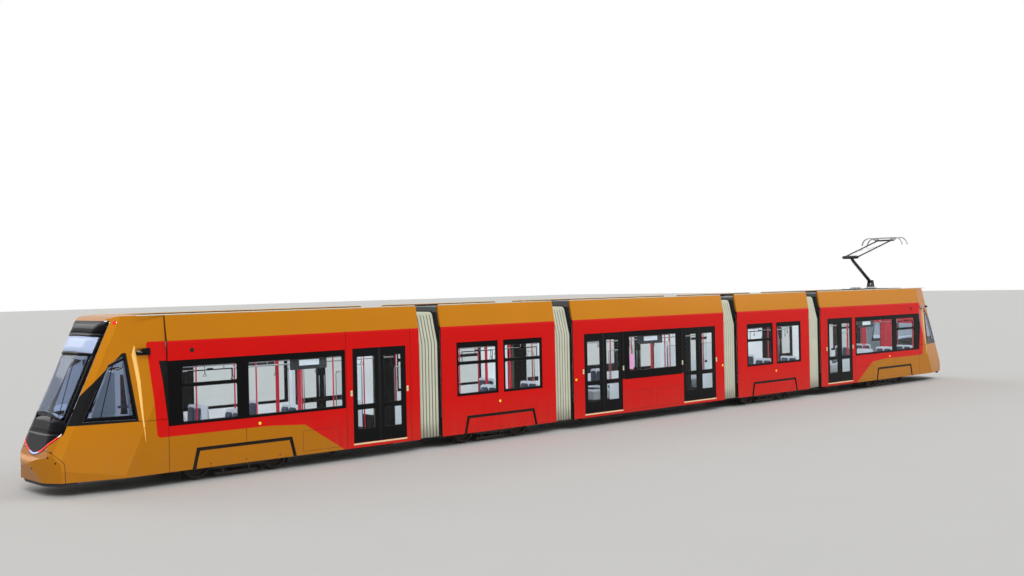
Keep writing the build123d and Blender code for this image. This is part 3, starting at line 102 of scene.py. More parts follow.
class Graph:
    """Adds nodes to one node tree and joins them."""

    def __init__(self, tree: Tree) -> None:
        """Work in this tree."""
        self.tree = tree

    def add(self, kind: str, inputs: dict | None = None, **settings: object) -> bpy.types.Node:
        """Add a node.

        Args:
            kind: The node's type, without the ShaderNode in front.
            inputs: Values or sockets by the input's name or number.
            **settings: Properties of the node itself.

        Returns:
            The new node.
        """
        node = self.tree.nodes.new("ShaderNode" + kind)
        for name, value in settings.items():
            setattr(node, name, value)
        for key, value in (inputs or {}).items():
            self.feed(node.inputs[key], value)
        return node

    def feed(self, socket: Socket, value: object) -> None:
        """Join a socket to an input, or set the input to a value."""
        if isinstance(value, Socket):
            self.tree.links.new(value, socket)
        elif socket.type == "RGBA" and len(value) == 3:
            socket.default_value = (*value, 1.0)
        else:
            socket.default_value = value

    def math(self, operation: str, a: object, b: object = 0.0, clamp: bool = False) -> Socket:
        """The result of one arithmetic step."""
        return self.add("Math", {0: a, 1: b}, operation=operation, use_clamp=clamp).outputs[0]

    plus = partialmethod(math, "ADD")
    minus = partialmethod(math, "SUBTRACT")
    times = partialmethod(math, "MULTIPLY")
    under = partialmethod(math, "LESS_THAN")
    over = partialmethod(math, "GREATER_THAN")

    def either(self, *masks: object) -> Socket:
        """The highest of these masks."""
        return reduce(partial(self.math, "MAXIMUM"), masks)

    def invert(self, mask: object) -> Socket:
        """A mask turned over."""
        return self.math("SUBTRACT", 1.0, mask)

    def noise(self, place: object, scale: object, detail: float) -> Socket:
        """Soft noise."""
        return self.add("TexNoise", {"Vector": place, "Scale": scale, "Detail": detail}).outputs[0]

    def cells(self, place: object, scale: object) -> Socket:
        """How far each place is from the middle of its cell."""
        return self.add("TexVoronoi", {"Vector": place, "Scale": scale}).outputs[0]

    def vector(self, operation: str, a: object, b: object = (0.0, 0.0, 0.0)) -> bpy.types.Node:
        """A step of vector arithmetic; its result is outputs[0], or outputs[1] for a number."""
        return self.add("VectorMath", {0: a, 1: b}, operation=operation)

    def step(self, value: object, low: float, high: float) -> Socket:
        """A mask that rises from 0 at low to 1 at high."""
        inputs = {"Value": value, "From Min": low, "From Max": high}
        return self.add("MapRange", inputs, clamp=True).outputs[0]

    def mix(self, mask: object, a: object, b: object) -> Socket:
        """Colour a where the mask is 0 and b where it is 1."""
        return self.add("Mix", {0: mask, 6: a, 7: b}, data_type="RGBA").outputs[2]

    def group(self, tree: Tree, inputs: dict) -> bpy.types.Node:
        """Place a node group with its own values."""
        node = self.tree.nodes.new("ShaderNodeGroup")
        node.node_tree = tree
        for key, value in inputs.items():
            self.feed(node.inputs[key], value)
        return node


def effect(name: str, **inputs: object) -> Callable[[Callable[[Graph, dict], dict]], Callable[[], Tree]]:
    """Make a shared node group of the function that joins its nodes.

    Args:
        name: The group's name.
        **inputs: The default of each input: three numbers for a colour, "vector" for a place, else a number.

    Returns:
        A decorator. It turns the function into one that makes the group once and returns it.
    """

    def decorate(fill: Callable[[Graph, dict], dict]) -> Callable[[], Tree]:
        """Take the function that joins the nodes from the input sockets and returns the results by name."""

        @cache
        def group() -> Tree:
            """The node group, made once."""
            tree = bpy.data.node_groups.new(name, "ShaderNodeTree")
            for key, value in inputs.items():
                kind = "Vector" if value == "vector" else "Color" if isinstance(value, tuple) else "Float"
                socket = tree.interface.new_socket(key, in_out="INPUT", socket_type="NodeSocket" + kind)
                if kind != "Vector":
                    socket.default_value = (*value, 1.0) if kind == "Color" else value
            start, end = tree.nodes.new("NodeGroupInput"), tree.nodes.new("NodeGroupOutput")
            for key, value in fill(Graph(tree), {key: start.outputs[key] for key in inputs}).items():
                kind = "Color" if key == "Color" else "Float"
                tree.interface.new_socket(key, in_out="OUTPUT", socket_type="NodeSocket" + kind)
                tree.links.new(value, end.inputs[key])
            return tree

        return group

    return decorate


@effect("Mottle", Color=(0.5, 0.5, 0.5), Place="vector", Scale=3.0, Amount=0.1)
def mottle(g: Graph, at: dict) -> dict:
    """Uneven tone: broad clouds and a fine speckle over a colour."""
    broad = g.noise(at["Place"], at["Scale"], 3.0)
    fine_scale = g.times(at["Scale"], 17.0)
    fine = g.noise(at["Place"], fine_scale, 2.0)
    both = g.plus(g.times(broad, 0.65), g.times(fine, 0.35))
    swing = g.times(g.minus(both, 0.5), g.times(at["Amount"], 2.0))
    gain = g.plus(swing, 1.0)
    color = g.vector("MULTIPLY", at["Color"], g.add("CombineXYZ", {0: gain, 1: gain, 2: gain}).outputs[0])
    return {"Color": color.outputs[0], "Mask": both}


@effect(
    "Road dust", Color=(0.5, 0.5, 0.5), Place="vector", Height=1.0, Fade=0.9, Amount=0.5,
    Tint=srgb(120, 108, 90),
)
def dust(g: Graph, at: dict) -> dict:
    """Road dust that thins out upwards, with runs that rain has left."""
    height = g.add("SeparateXYZ", {0: at["Place"]}).outputs[2]
    low = g.math("DIVIDE", g.minus(at["Height"], height), at["Fade"], clamp=True)
    runs_at = g.vector("MULTIPLY", at["Place"], (9.0, 9.0, 0.8)).outputs[0]
    runs = g.noise(runs_at, 1.0, 4.0)
    spots = g.noise(at["Place"], 26.0, 3.0)
    broken = g.times(g.step(runs, 0.3, 0.75), g.step(spots, 0.25, 0.8))
    cover = g.plus(g.times(broken, 0.8), 0.2)
    mask = g.times(g.times(low, cover), at["Amount"], clamp=True)
    return {"Color": g.mix(mask, at["Color"], at["Tint"]), "Mask": mask}


@effect("Grain", Place="vector", Scale=100.0)
def grain(g: Graph, at: dict) -> dict:
    """The fine relief of a moulded, cast or sprayed surface."""
    noise = g.noise(at["Place"], at["Scale"], 4.0)
    cells = g.cells(at["Place"], g.times(at["Scale"], 1.7))
    return {"Height": g.plus(g.times(noise, 0.7), g.times(cells, 0.3))}


@effect("Weave", Color=(0.1, 0.1, 0.2), Fleck=(0.3, 0.3, 0.4), Place="vector", Scale=90.0)
def weave(g: Graph, at: dict) -> dict:
    """Crossed threads with flecks of a second colour."""
    waves = []
    for axis in ("X", "DIAGONAL"):
        settings = {"wave_type": "BANDS", "bands_direction": axis}
        node = g.add("TexWave", {"Vector": at["Place"], "Scale": at["Scale"], "Distortion": 0.4}, **settings)
        waves.append(node.outputs[1])
    threads = g.times(waves[0], waves[1])
    cells = g.cells(at["Place"], g.times(at["Scale"], 0.45))
    flecks = g.under(cells, 0.16)
    shade = g.plus(g.times(threads, 0.35), 0.75)
    shaded = g.vector("MULTIPLY", at["Color"], g.add("CombineXYZ", {0: shade, 1: shade, 2: shade}).outputs[0])
    return {"Color": g.mix(flecks, shaded.outputs[0], at["Fleck"]), "Height": threads}


@effect("Panel joint", Place="vector", Start="vector", End="vector", Width=0.01)
def stroke(g: Graph, at: dict) -> dict:
    """A thin line from one place to another, for the joints between panels."""
    along = g.vector("SUBTRACT", at["End"], at["Start"]).outputs[0]
    off = g.vector("SUBTRACT", at["Place"], at["Start"]).outputs[0]
    length = g.vector("DOT_PRODUCT", along, along).outputs[1]
    t = g.math("DIVIDE", g.vector("DOT_PRODUCT", off, along).outputs[1], length, clamp=True)
    scaled = g.add("VectorMath", {0: along, 3: t}, operation="SCALE").outputs[0]
    away = g.vector("LENGTH", g.vector("SUBTRACT", off, scaled).outputs[0]).outputs[1]
    share = g.math("DIVIDE", away, at["Width"])
    return {"Mask": g.invert(g.step(share, 0.35, 0.65))}


@cache
def region(outline: tuple[Spot, ...], soft: float = 0.004) -> Tree:
    """The inside of a convex outline in the plane of the side, given as (x, z) corners in order."""
    centre = Vector((sum(p[0] for p in outline), sum(p[1] for p in outline))) / len(outline)

    @effect("Region", Place="vector")
    def inside(g: Graph, at: dict) -> dict:
        """Multiply one soft-edged half plane for each side of the outline."""
        halves = []
        for (x0, z0), (x1, z1) in zip(outline, outline[1:] + outline[:1]):
            normal = Vector((z1 - z0, x0 - x1)).normalized()
            if normal.dot(centre - Vector((x0, z0))) < 0:
                normal.negate()
            start = normal.dot(Vector((x0, z0)))
            place = g.vector("DOT_PRODUCT", at["Place"], (normal.x, 0.0, normal.y)).outputs[1]
            halves.append(g.step(place, start - soft, start + soft))
        return {"Mask": reduce(g.times, halves)}

    return inside()


# Finishes


class Material:
    """A material under way: its graph, its Principled shader and the place on the object."""

    def __init__(self, name: str) -> None:
        """Start an empty material with one Principled shader."""
        self.made = bpy.data.materials.new(name)
        self.made.use_nodes = True
        self.made.node_tree.nodes.clear()
        self.graph = Graph(self.made.node_tree)
        self.shader = self.graph.add("BsdfPrincipled")
        output = self.graph.add("OutputMaterial")
        self.made.node_tree.links.new(self.shader.outputs[0], output.inputs[0])
        coordinates = self.graph.add("TexCoord")
        self.place = coordinates.outputs["Object"]
        self.normal = coordinates.outputs["Normal"]

    def set(self, **values: object) -> None:
        """Set or join the shader's inputs, named with underscores for spaces."""
        for key, value in values.items():
            self.graph.feed(self.shader.inputs[key.replace("_", " ")], value)

    def mottled(self, color: object, scale: float, amount: float, place: Socket | None = None) -> Socket:
        """The colour with an uneven tone, by the object's place or another."""
        inputs = {"Color": color, "Place": place or self.place, "Scale": scale, "Amount": amount}
        return self.graph.group(mottle(), inputs).outputs["Color"]

    def grained(self, scale: float, strength: float) -> None:
        """Raise the surface by a fine grain."""
        self.relief(self.graph.group(grain(), {"Place": self.place, "Scale": scale}).outputs[0], strength)

    def relief(self, height: Socket, strength: float, distance: float = 0.001) -> None:
        """Raise the surface by a height."""
        inputs = {"Height": height, "Strength": strength, "Distance": distance}
        self.set(Normal=self.graph.add("Bump", inputs).outputs[0])


class Coating:
    """A finish that joins its own shader nodes and is made into one material."""

    name: str

    @cache
    def material(self) -> bpy.types.Material:
        """The material, made once."""
        m = Material(self.name)
        self.join(m, m.graph)
        return m.made


@dataclass(frozen=True)
class Surface(Coating):
    """A plain moulded, cast, painted or rolled surface with uneven tone, fine relief and dust."""

    name: str
    color: Color
    roughness: float = 0.5
    metallic: float = 0.0
    coat: float = 0.0
    tone: float = 0.12
    tone_scale: float = 3.0
    grain_scale: float = 220.0
    relief: float = 0.15
    dust_height: float = 0.0
    dust_amount: float = 0.6
    glow: float = 0.0
    specular: float = 0.3

    def join(self, m: Material, g: Graph) -> None:
        """Uneven tone, dust from below, relief and a faint painted glow."""
        uneven = g.group(
            mottle(), {"Color": self.color, "Place": m.place, "Scale": self.tone_scale, "Amount": self.tone}
        )
        color, mask = uneven.outputs["Color"], uneven.outputs["Mask"]
        roughness = g.plus(g.times(mask, 0.16), self.roughness - 0.08)
        if self.dust_height:
            inputs = {
                "Color": color, "Place": m.place, "Height": self.dust_height, "Fade": self.dust_height,
                "Amount": self.dust_amount,
            }
            layer = g.group(dust(), inputs)
            color = layer.outputs["Color"]
            roughness = g.plus(roughness, g.times(layer.outputs["Mask"], 0.35), clamp=True)
        m.set(Base_Color=color, Roughness=roughness, Metallic=self.metallic, Specular_IOR_Level=self.specular)
        m.set(Coat_Weight=self.coat, Coat_Roughness=0.08)
        # Painted glow: a surface with glow gives off light of its own, standing in for light that falls on it.
        if self.glow:
            m.set(Emission_Color=color, Emission_Strength=self.glow)
        m.grained(self.grain_scale, self.relief)


@dataclass(frozen=True)
class Cloth(Coating):
    """Woven bench cloth with flecks."""

    name: str
    color: Color
    fleck: Color
    scale: float = 90.0

    def join(self, m: Material, g: Graph) -> None:
        """Threads in two tones, soft and slightly raised, with a faint painted glow."""
        inputs = {"Color": self.color, "Fleck": self.fleck, "Place": m.place, "Scale": self.scale}
        cloth = g.group(weave(), inputs)
        m.set(Base_Color=cloth.outputs["Color"], Roughness=0.85, Sheen_Weight=0.3)
        # Painted glow: the cloth gives off light of its own, standing in for the light inside the saloon and
        # cab.
        m.set(Emission_Color=cloth.outputs["Color"], Emission_Strength=0.12)
        m.relief(cloth.outputs["Height"], 0.5, 0.0008)


@dataclass(frozen=True)
class Pane(Coating):
    """Clear or tinted glass with a faint film of dust."""

    name: str
    tint: Color
    roughness: float = 0.02

    def join(self, m: Material, g: Graph) -> None:
        """Tinted glass that is duller where the film lies."""
        film = g.noise(m.place, 7.0, 5.0)
        m.set(Base_Color=m.mottled(self.tint, 1.6, 0.05), IOR=1.22, Metallic=0.0, Transmission_Weight=1.0)
        m.set(Roughness=g.plus(g.times(g.step(film, 0.5, 0.8), 0.05), self.roughness))


@dataclass(frozen=True)
class Lit(Coating):
    """A lit lens, panel or lamp, with small cells and a darker edge of tone."""

    name: str
    color: Color
    strength: float
    cells: float = 60.0

    def join(self, m: Material, g: Graph) -> None:
        """Glowing cells."""
        cells = g.cells(m.place, self.cells)
        glow = g.mix(
            g.step(cells, 0.0, 0.9), m.mottled(self.color, 5.0, 0.15), tuple(0.72 * c for c in self.color)
        )
        m.set(Base_Color=glow, Roughness=0.25, Specular_IOR_Level=0.3)
        m.set(Emission_Color=glow, Emission_Strength=self.strength)
        m.relief(cells, 0.1)


class Area(Enum):
    """The painted parts of the body, which share the livery and differ in what lies inside them."""

    WALLS = "side_paint"
    ROOF = "roof_paint"
    NOSE = "cab_paint"


RED = srgb(204, 6, 2)
GOLD = srgb(186, 117, 4)
BLACK = srgb(7, 7, 8)
LINING = srgb(212, 216, 218)
ROOF_LINING = srgb(46, 46, 48)


@dataclass(frozen=True)
class Livery(Coating):
    """The red and gold paint of the body, with its black areas, black painted shade on ends, ledges and gaps,
    joints, lining with a painted glow, and dust.
    """

    area: Area
    cove_from: float = 2.86
    wall_skin: float = 1.165
    cover_skin: float = 1.19
    cover_head: float = 0.74
    roof_skin: float = 1.15
    roof_foot: float = 2.81
    roof_lean: float = 0.1696
    deck_half: float = 0.86
    nose_middle: Spot = (14.6, 1.8)
    ledge: Spot = (16.2, 1.0)
    pod_back: float = 15.0
    pod_lean: float = 0.25
    pod_skin: float = 1.008
    gaps: tuple[float, ...] = (3.475, 7.865)
    gap_half: float = 0.345
    gap_skin: float = 1.163
    strip_from: float = 14.395
    joint_width: float = 0.012
    square: Span = (0.7, 0.72)
    gold_low: tuple[Spot, ...] = ((14.45, 0.1), (14.45, 0.985), (12.15, 0.985), (11.3, 0.93), (10.0, 0.1))
    red_frame: tuple[Spot, ...] = (
        (14.3, 0.985), (14.6, 0.985), (14.65, 1.03), (14.775, 2.82), (14.74, 2.86), (14.3, 2.86),
    )
    slant_pane: tuple[Spot, ...] = ((14.3, 1.21), (14.41, 1.21), (14.56, 2.48), (14.3, 2.48))
    window_black: tuple[Spot, ...] = ((16.5, 1.335), (15.0, 1.335), (15.15, 2.66), (15.22, 2.66), (15.89, 2.0))
    end_strip: tuple[Spot, ...] = ((14.3, 1.19), (14.5, 1.19), (14.5, 2.47), (14.3, 2.47))
    middle_band: tuple[Spot, ...] = ((-0.1, 1.205), (1.3, 1.205), (1.3, 2.485), (-0.1, 2.485))
    camera_black: tuple[Spot, ...] = ((14.7, 2.6), (15.05, 2.6), (15.05, 2.8), (14.7, 2.8))
    covers: tuple[float, ...] = (12.72, 5.67)
    joints: tuple[tuple[Spot, Spot], ...] = (
        ((14.41, 0.2), (14.41, 2.9)), ((15.0, 1.335), (14.41, 1.335)), ((12.7, 0.985), (12.7, 0.73)),
        ((16.565, 0.88), (16.36, 0.645)), ((16.36, 0.645), (16.355, 0.25)), ((15.1, 3.4), (14.41, 3.4)),
        ((14.41, 2.86), (14.41, 3.4)), ((10.22, 0.3), (10.22, 2.86)), ((8.45, 0.3), (8.45, 2.86)),
    )

    @property
    def name(self) -> str:
        """The material's name."""
        return f"Livery {self.area.name.lower()}"

    def cover(self, centre: float, grow: float) -> tuple[Spot, ...]:
        """The outline of a bogie cover, grown by so much."""
        low, high, top = 1.167 + grow, 1.04 + grow, 0.65 + grow
        return ((centre - low, 0.2), (centre + low, 0.2), (centre + high, top), (centre - high, top))

    def masks(self, m: Material) -> dict[str, Socket]:
        """Work out where each paint lies.

        Args:
            m: The material under way.

        Returns:
            Masks by name: outside, gold, black (black paint and painted shade) and joint.
        """
        g = m.graph
        x, y, z = g.add("SeparateXYZ", {0: m.place}).outputs[:3]
        side_x, side_y = g.math("ABSOLUTE", x), g.math("ABSOLUTE", y)
        flat = g.add("CombineXYZ", {0: side_x, 2: z}).outputs[0]
        facing = g.add("SeparateXYZ", {0: m.normal})
        along, up = (g.step(g.math("ABSOLUTE", facing.outputs[k]), *self.square) for k in (0, 2))
        cove = g.step(z, self.cove_from - 0.003, self.cove_from + 0.003)

        def inside(outline: tuple[Spot, ...]) -> Socket:
            """The inside of an outline on the side."""
            return g.group(region(outline), {"Place": flat}).outputs[0]

        def beyond(value: Socket, limit: float) -> Socket:
            """A mask that rises at a limit."""
            return g.step(value, limit - 0.001, limit + 0.001)

        lines = []
        for start, end in self.joints:
            inputs = {"Start": (start[0], 0, start[1]), "End": (end[0], 0, end[1]), "Width": self.joint_width}
            lines.append(g.group(stroke(), {"Place": flat, **inputs}).outputs[0])
        found = {"joint": g.either(*lines)}
        if self.area is Area.WALLS:
            found["outside"] = beyond(side_y, self.wall_skin)
            found["gold"] = g.either(inside(self.gold_low), cove)
            groove = g.times(g.invert(beyond(side_y, self.cover_skin)), g.under(z, self.cover_head))
            # Painted shade: the outer skin's end faces, and its faces that look up or down, are painted black
            # for the shade on them.
            edges = g.times(found["outside"], g.either(along, up))
            # Painted shade: the inner faces beside each gangway, seen through the gap between the car's end and
            # the bellows, are painted black.
            for centre in self.gaps:
                off = g.math("ABSOLUTE", g.minus(side_x, centre))
                edges = g.either(edges, g.times(g.under(off, self.gap_half), g.under(side_y, self.gap_skin)))
            strip = g.times(g.over(side_x, self.strip_from), inside(self.end_strip))
            black = g.either(groove, strip, g.either(edges, inside(self.middle_band)))
            # Painted shade: a black band round each bogie cover widens the groove to the width of its shadow.
            for centre in self.covers:
                wide, inner = inside(self.cover(centre, 0.06)), inside(self.cover(centre, -0.01))
                black = g.either(black, g.times(wide, g.invert(inner)))
        elif self.area is Area.ROOF:
            lean = g.plus(side_y, g.times(g.minus(z, self.roof_foot), self.roof_lean))
            found["outside"], found["gold"] = beyond(lean, self.roof_skin), cove
            # Painted shade: the roof's end faces below the cove, and those over the middle of the deck, are
            # painted black.
            black = g.times(along, g.either(g.under(z, self.cove_from), g.under(side_y, self.deck_half)))
        else:
            middle_x, middle_z = self.nose_middle
            lead = g.times(g.minus(side_x, middle_x), g.math("SIGN", x))
            outward = g.add("CombineXYZ", {0: lead, 1: y, 2: g.minus(z, middle_z)}).outputs[0]
            turned = g.vector("DOT_PRODUCT", outward, m.normal).outputs[1]
            ledge = g.times(g.over(side_x, self.ledge[0]), g.under(z, self.ledge[1]))
            found["outside"] = g.either(g.step(turned, 0.0, 0.01), ledge)
            found["gold"] = g.invert(inside(self.red_frame))
            lean = g.times(g.minus(self.pod_back, side_x), self.pod_lean)
            pod = g.times(inside(self.camera_black), g.over(side_y, g.plus(lean, self.pod_skin)))
            black = g.either(inside(self.slant_pane), inside(self.window_black), pod)
        return {**found, "black": black}

    def join(self, m: Material, g: Graph) -> None:
        """Paint, dust, shine, a painted glow on the lining and the relief of joints and ripples."""
        found = self.masks(m)
        flakes = g.add("TexVoronoi", {"Vector": m.place, "Scale": 900.0}).outputs[1]
        gold = m.mottled(m.mottled(GOLD, 4.0, 0.12, flakes), 0.9, 0.08)
        paint = g.mix(found["gold"], m.mottled(RED, 0.7, 0.07), gold)
        inner = g.mix(found["outside"], ROOF_LINING if self.area is Area.ROOF else LINING, paint)
        dark = g.either(found["black"], g.times(found["joint"], 0.85))
        if self.area is not Area.WALLS:
            dark = g.times(dark, found["outside"])
        inputs = {
            "Color": g.mix(dark, inner, BLACK), "Place": m.place, "Height": 1.25, "Fade": 1.1, "Amount": 0.3
        }
        layer = g.group(dust(), inputs)
        shine = g.times(g.times(found["gold"], found["outside"]), g.invert(dark))
        roughness = g.plus(g.times(g.noise(m.place, 2.2, 4.0), 0.14), 0.26)
        roughness = g.plus(roughness, g.times(layer.outputs["Mask"], 0.4), clamp=True)
        m.set(Base_Color=layer.outputs["Color"], Roughness=roughness, Metallic=g.times(shine, 0.42))
        m.set(Specular_IOR_Level=0.1, Coat_Weight=0.12, Coat_Roughness=0.05)
        # Painted glow: the lining inside the walls gives off light of its own, standing in for the saloon's
        # light.
        if self.area is Area.WALLS:
            unlit = g.either(found["outside"], dark)
            m.set(Emission_Color=g.mix(unlit, LINING, (0.0, 0.0, 0.0)), Emission_Strength=0.5)
        ripple, peel = g.noise(m.place, 5.0, 1.0), g.noise(m.place, 380.0, 1.0)
        height = g.plus(g.times(ripple, 1.6), g.times(peel, 0.05))
        m.relief(g.minus(height, g.times(found["joint"], 2.0)), 0.35, 0.0025)


@dataclass(frozen=True)
class LampBand(Coating):
    """The lamps let into the front: the lit V, its bright ends and the round markers above."""

    name: str = "Front lamps"
    bright_from: float = 1.13
    apex_below: float = 0.845
    marker_from: float = 3.0

    def join(self, m: Material, g: Graph) -> None:
        """White and red lamps by their place, in small cells."""
        x, _, z = g.add("SeparateXYZ", {0: m.place}).outputs[:3]
        red, white, blue = (0.9, 0.012, 0.01), (0.8, 0.66, 0.62), (0.34, 0.42, 0.75)
        tail = g.mix(g.step(z, self.bright_from, self.bright_from + 0.02), red, white)
        tail = g.mix(g.invert(g.step(z, self.apex_below - 0.01, self.apex_below)), tail, blue)
        head = g.mix(g.step(x, -0.1, 0.1), tail, (1.0, 0.93, 0.82))
        color = g.mix(g.step(z, self.marker_from, self.marker_from + 0.01), head, red)
        cells = g.cells(m.place, 75.0)
        lit = g.mix(g.step(cells, 0.0, 0.8), color, g.mix(0.35, color, (0.1, 0.0, 0.0)))
        m.set(Base_Color=lit, Roughness=0.2, Specular_IOR_Level=0.3, Emission_Color=lit, Emission_Strength=0.9)
        m.relief(cells, 0.15)


@dataclass(frozen=True)
class Tread(Coating):
    """Wheel steel: bright where the wheel runs, brown and dusty on its faces."""

    name: str = "Wheel steel"

    def join(self, m: Material, g: Graph) -> None:
        """Bright steel on the tread and rust on the faces."""
        across = g.math("ABSOLUTE", g.add("SeparateXYZ", {0: m.normal}).outputs[1])
        y = g.math("ABSOLUTE", g.add("SeparateXYZ", {0: m.place}).outputs[1])
        face = g.either(g.step(across, 0.35, 0.6), g.under(y, 0.69))
        rust, bright = m.mottled(srgb(50, 41, 36), 14.0, 0.35), m.mottled(srgb(170, 168, 164), 9.0, 0.12)
        m.set(Base_Color=g.mix(face, bright, rust))
        m.set(Metallic=g.invert(g.times(face, 0.6)))
        m.set(Roughness=g.plus(g.times(face, 0.4), 0.28))
        m.grained(90.0, 0.35)


@dataclass(frozen=True)
class FloorCover(Coating):
    """Speckled grey floor covering above, with near-black faces low down and pale faces higher up."""

    name: str = "Floor covering"

    def join(self, m: Material, g: Graph) -> None:
        """Flecked covering where one walks, near-black faces low down and pale faces higher up."""
        z = g.add("SeparateXYZ", {0: m.place}).outputs[2]
        up = g.add("SeparateXYZ", {0: m.normal}).outputs[2]
        walked = g.times(g.step(up, 0.4, 0.6), g.over(z, 0.37))
        cells = g.cells(m.place, 55.0)
        flecks = g.under(cells, 0.22)
        cover = g.mix(flecks, srgb(92, 96, 102), srgb(150, 154, 160))
        side = g.over(z, 0.47)
        under = g.mix(side, srgb(34, 34, 36), srgb(196, 200, 202))
        color = m.mottled(g.mix(walked, under, cover), 2.0, 0.15)
        m.set(Base_Color=color, Roughness=g.plus(g.times(walked, -0.1), 0.65))
        m.grained(160.0, 0.3)


class Finish(Enum):
    """The finishes of the pieces, apart from the livery."""

    FRAME_BLACK = Surface("Window frame black", srgb(8, 8, 10), 0.2, tone=0.1, relief=0.05, specular=0.1)
    DOOR_BLACK = Surface("Door leaf black", srgb(9, 10, 13), 0.26, tone=0.12, relief=0.08, specular=0.12)
    MASK_BLACK = Surface("Front panel black", srgb(6, 5, 12), 0.12, tone=0.08, relief=0.03, specular=0.07)
    RUBBER = Surface("Sealing rubber", srgb(26, 26, 27), 0.75, tone=0.18, grain_scale=320, relief=0.3)
    # The glow of the ceiling, bench shells, saloon panels and handrails is painted light, standing in for the
    # light inside the saloon and cab.
    CEILING = Surface(
        "Ceiling panel", srgb(226, 229, 232), 0.55, tone=0.05, grain_scale=150, relief=0.08, glow=0.5
    )
    SHELL = Surface(
        "Bench shell", srgb(196, 202, 210), 0.42, tone=0.06, grain_scale=260, relief=0.12, glow=0.32
    )
    PANEL = Surface("Saloon panel", srgb(205, 212, 218), 0.45, tone=0.06, grain_scale=240, relief=0.1, glow=0.4)
    POLE = Surface("Handrail paint", srgb(196, 24, 62), 0.32, coat=0.4, tone=0.06, relief=0.05, glow=0.25)
    STEEL = Surface("Brushed handrail steel", srgb(190, 192, 194), 0.3, metallic=0.9, tone=0.1, relief=0.08)
    ALUMINIUM = Surface("Drawn aluminium", srgb(176, 178, 180), 0.38, metallic=0.85, tone=0.12, relief=0.12)
    CONSOLE = Surface("Console plastic", srgb(52, 55, 60), 0.6, tone=0.14, grain_scale=300, relief=0.3)
    BOGIE = Surface(
        "Bogie paint", srgb(48, 47, 47), 0.6, tone=0.25, tone_scale=5, grain_scale=120, relief=0.4,
        dust_height=0.75,
    )
    DAMPER = Surface("Damper grey", srgb(112, 116, 120), 0.45, tone=0.18, relief=0.2, dust_height=0.6)
    ROOF_GREY = Surface("Roof case paint", srgb(104, 106, 107), 0.5, tone=0.14, tone_scale=1.4, relief=0.2)
    ROOF_DARK = Surface("Roof gear dark", srgb(60, 62, 64), 0.55, tone=0.2, relief=0.25)
    ROOF_RAIL = Surface("Roof rail cream", srgb(216, 208, 186), 0.4, coat=0.2, tone=0.1, relief=0.1)
    INSULATOR = Surface("Insulator", srgb(122, 52, 34), 0.25, coat=0.6, tone=0.1, relief=0.05)
    CARBON = Surface("Contact carbon", srgb(38, 38, 40), 0.5, tone=0.2, relief=0.35)
    ARM = Surface("Pantograph paint", srgb(58, 60, 64), 0.42, metallic=0.2, tone=0.15, relief=0.15)
    COPPER = Surface(
        "Braided copper", srgb(150, 92, 60), 0.45, metallic=0.8, tone=0.25, grain_scale=500, relief=0.6
    )
    BELLOWS = Surface(
        "Bellows fabric", srgb(206, 208, 190), 0.8, tone=0.16, tone_scale=2.4, grain_scale=420, relief=0.35,
        dust_height=1.2,
    )
    # Painted shade: a darker grey of the bellows fabric for the valleys between the pleats.
    BELLOWS_VALLEY_SHADE = Surface("Bellows painted valley shade", srgb(112, 114, 102), 0.8, tone=0.18, relief=0.25, dust_height=1.2)
    SILL = Surface("Door sill strip", srgb(226, 214, 170), 0.5, tone=0.15, relief=0.2, dust_height=0.5)
    # Painted highlight: the fold behind the cab window is a pale gold with a glow of its own, for the light it
    # catches.
    FOLD_HIGHLIGHT = Surface("Fold painted highlight", srgb(244, 192, 104), 0.3, coat=0.3, tone=0.08, relief=0.04, glow=0.12)
    BENCH_CLOTH = Cloth("Bench cloth", srgb(48, 58, 84), srgb(104, 120, 150))
    DRIVER_CLOTH = Cloth("Driver's chair cloth", srgb(44, 46, 54), srgb(84, 88, 100))
    WINDOW_GLASS = Pane("Window glass", (0.90, 0.95, 0.97))
    SCREEN_GLASS = Pane("Windscreen glass", (0.50, 0.57, 0.72))
    CEILING_LAMP = Lit("Ceiling lamp", (0.8, 0.86, 0.92), 4.5, 14.0)
    DISPLAY = Lit("Destination display", (0.36, 0.43, 0.62), 0.6, 110.0)
    SIGN = Lit("Passenger display", (0.62, 0.67, 0.72), 0.6, 90.0)
    MARKER = Lit("Side marker lamp", (0.95, 0.36, 0.03), 1.3, 160.0)
    GREEN_RING = Lit("Button ring", (0.1, 0.6, 0.25), 0.6, 240.0)
    # Painted glow on the pale notices and red partitions, standing in for the light inside the saloon and cab.
    NOTICE = Surface("Pale panel", srgb(226, 150, 196), 0.6, tone=0.06, relief=0.05, glow=0.3)
    PARTITION_RED = Surface(
        "Red partition", srgb(196, 18, 44), 0.4, coat=0.3, tone=0.08, relief=0.06, glow=0.25
    )

    def material(self) -> bpy.types.Material:
        """The material of this finish."""
        return self.value.material()


# Shapes


def square_to(direction: Vector) -> tuple[Vector, Vector]:
    """Two directions square to this one and to each other."""
    helper = Vector((0, 0, 1)) if abs(direction.z) < 0.9 * direction.length else Vector((1, 0, 0))
    first = direction.cross(helper).normalized()
    return first, direction.cross(first).normalized()


def circle(centre: Vector, across: tuple[Vector, Vector], radius: float, sides: int) -> list[Vector]:
    """Points round a centre, in the plane of two directions."""
    angles = [2 * pi * k / sides for k in range(sides)]
    return [centre + (across[0] * cos(a) + across[1] * sin(a)) * radius for a in angles]


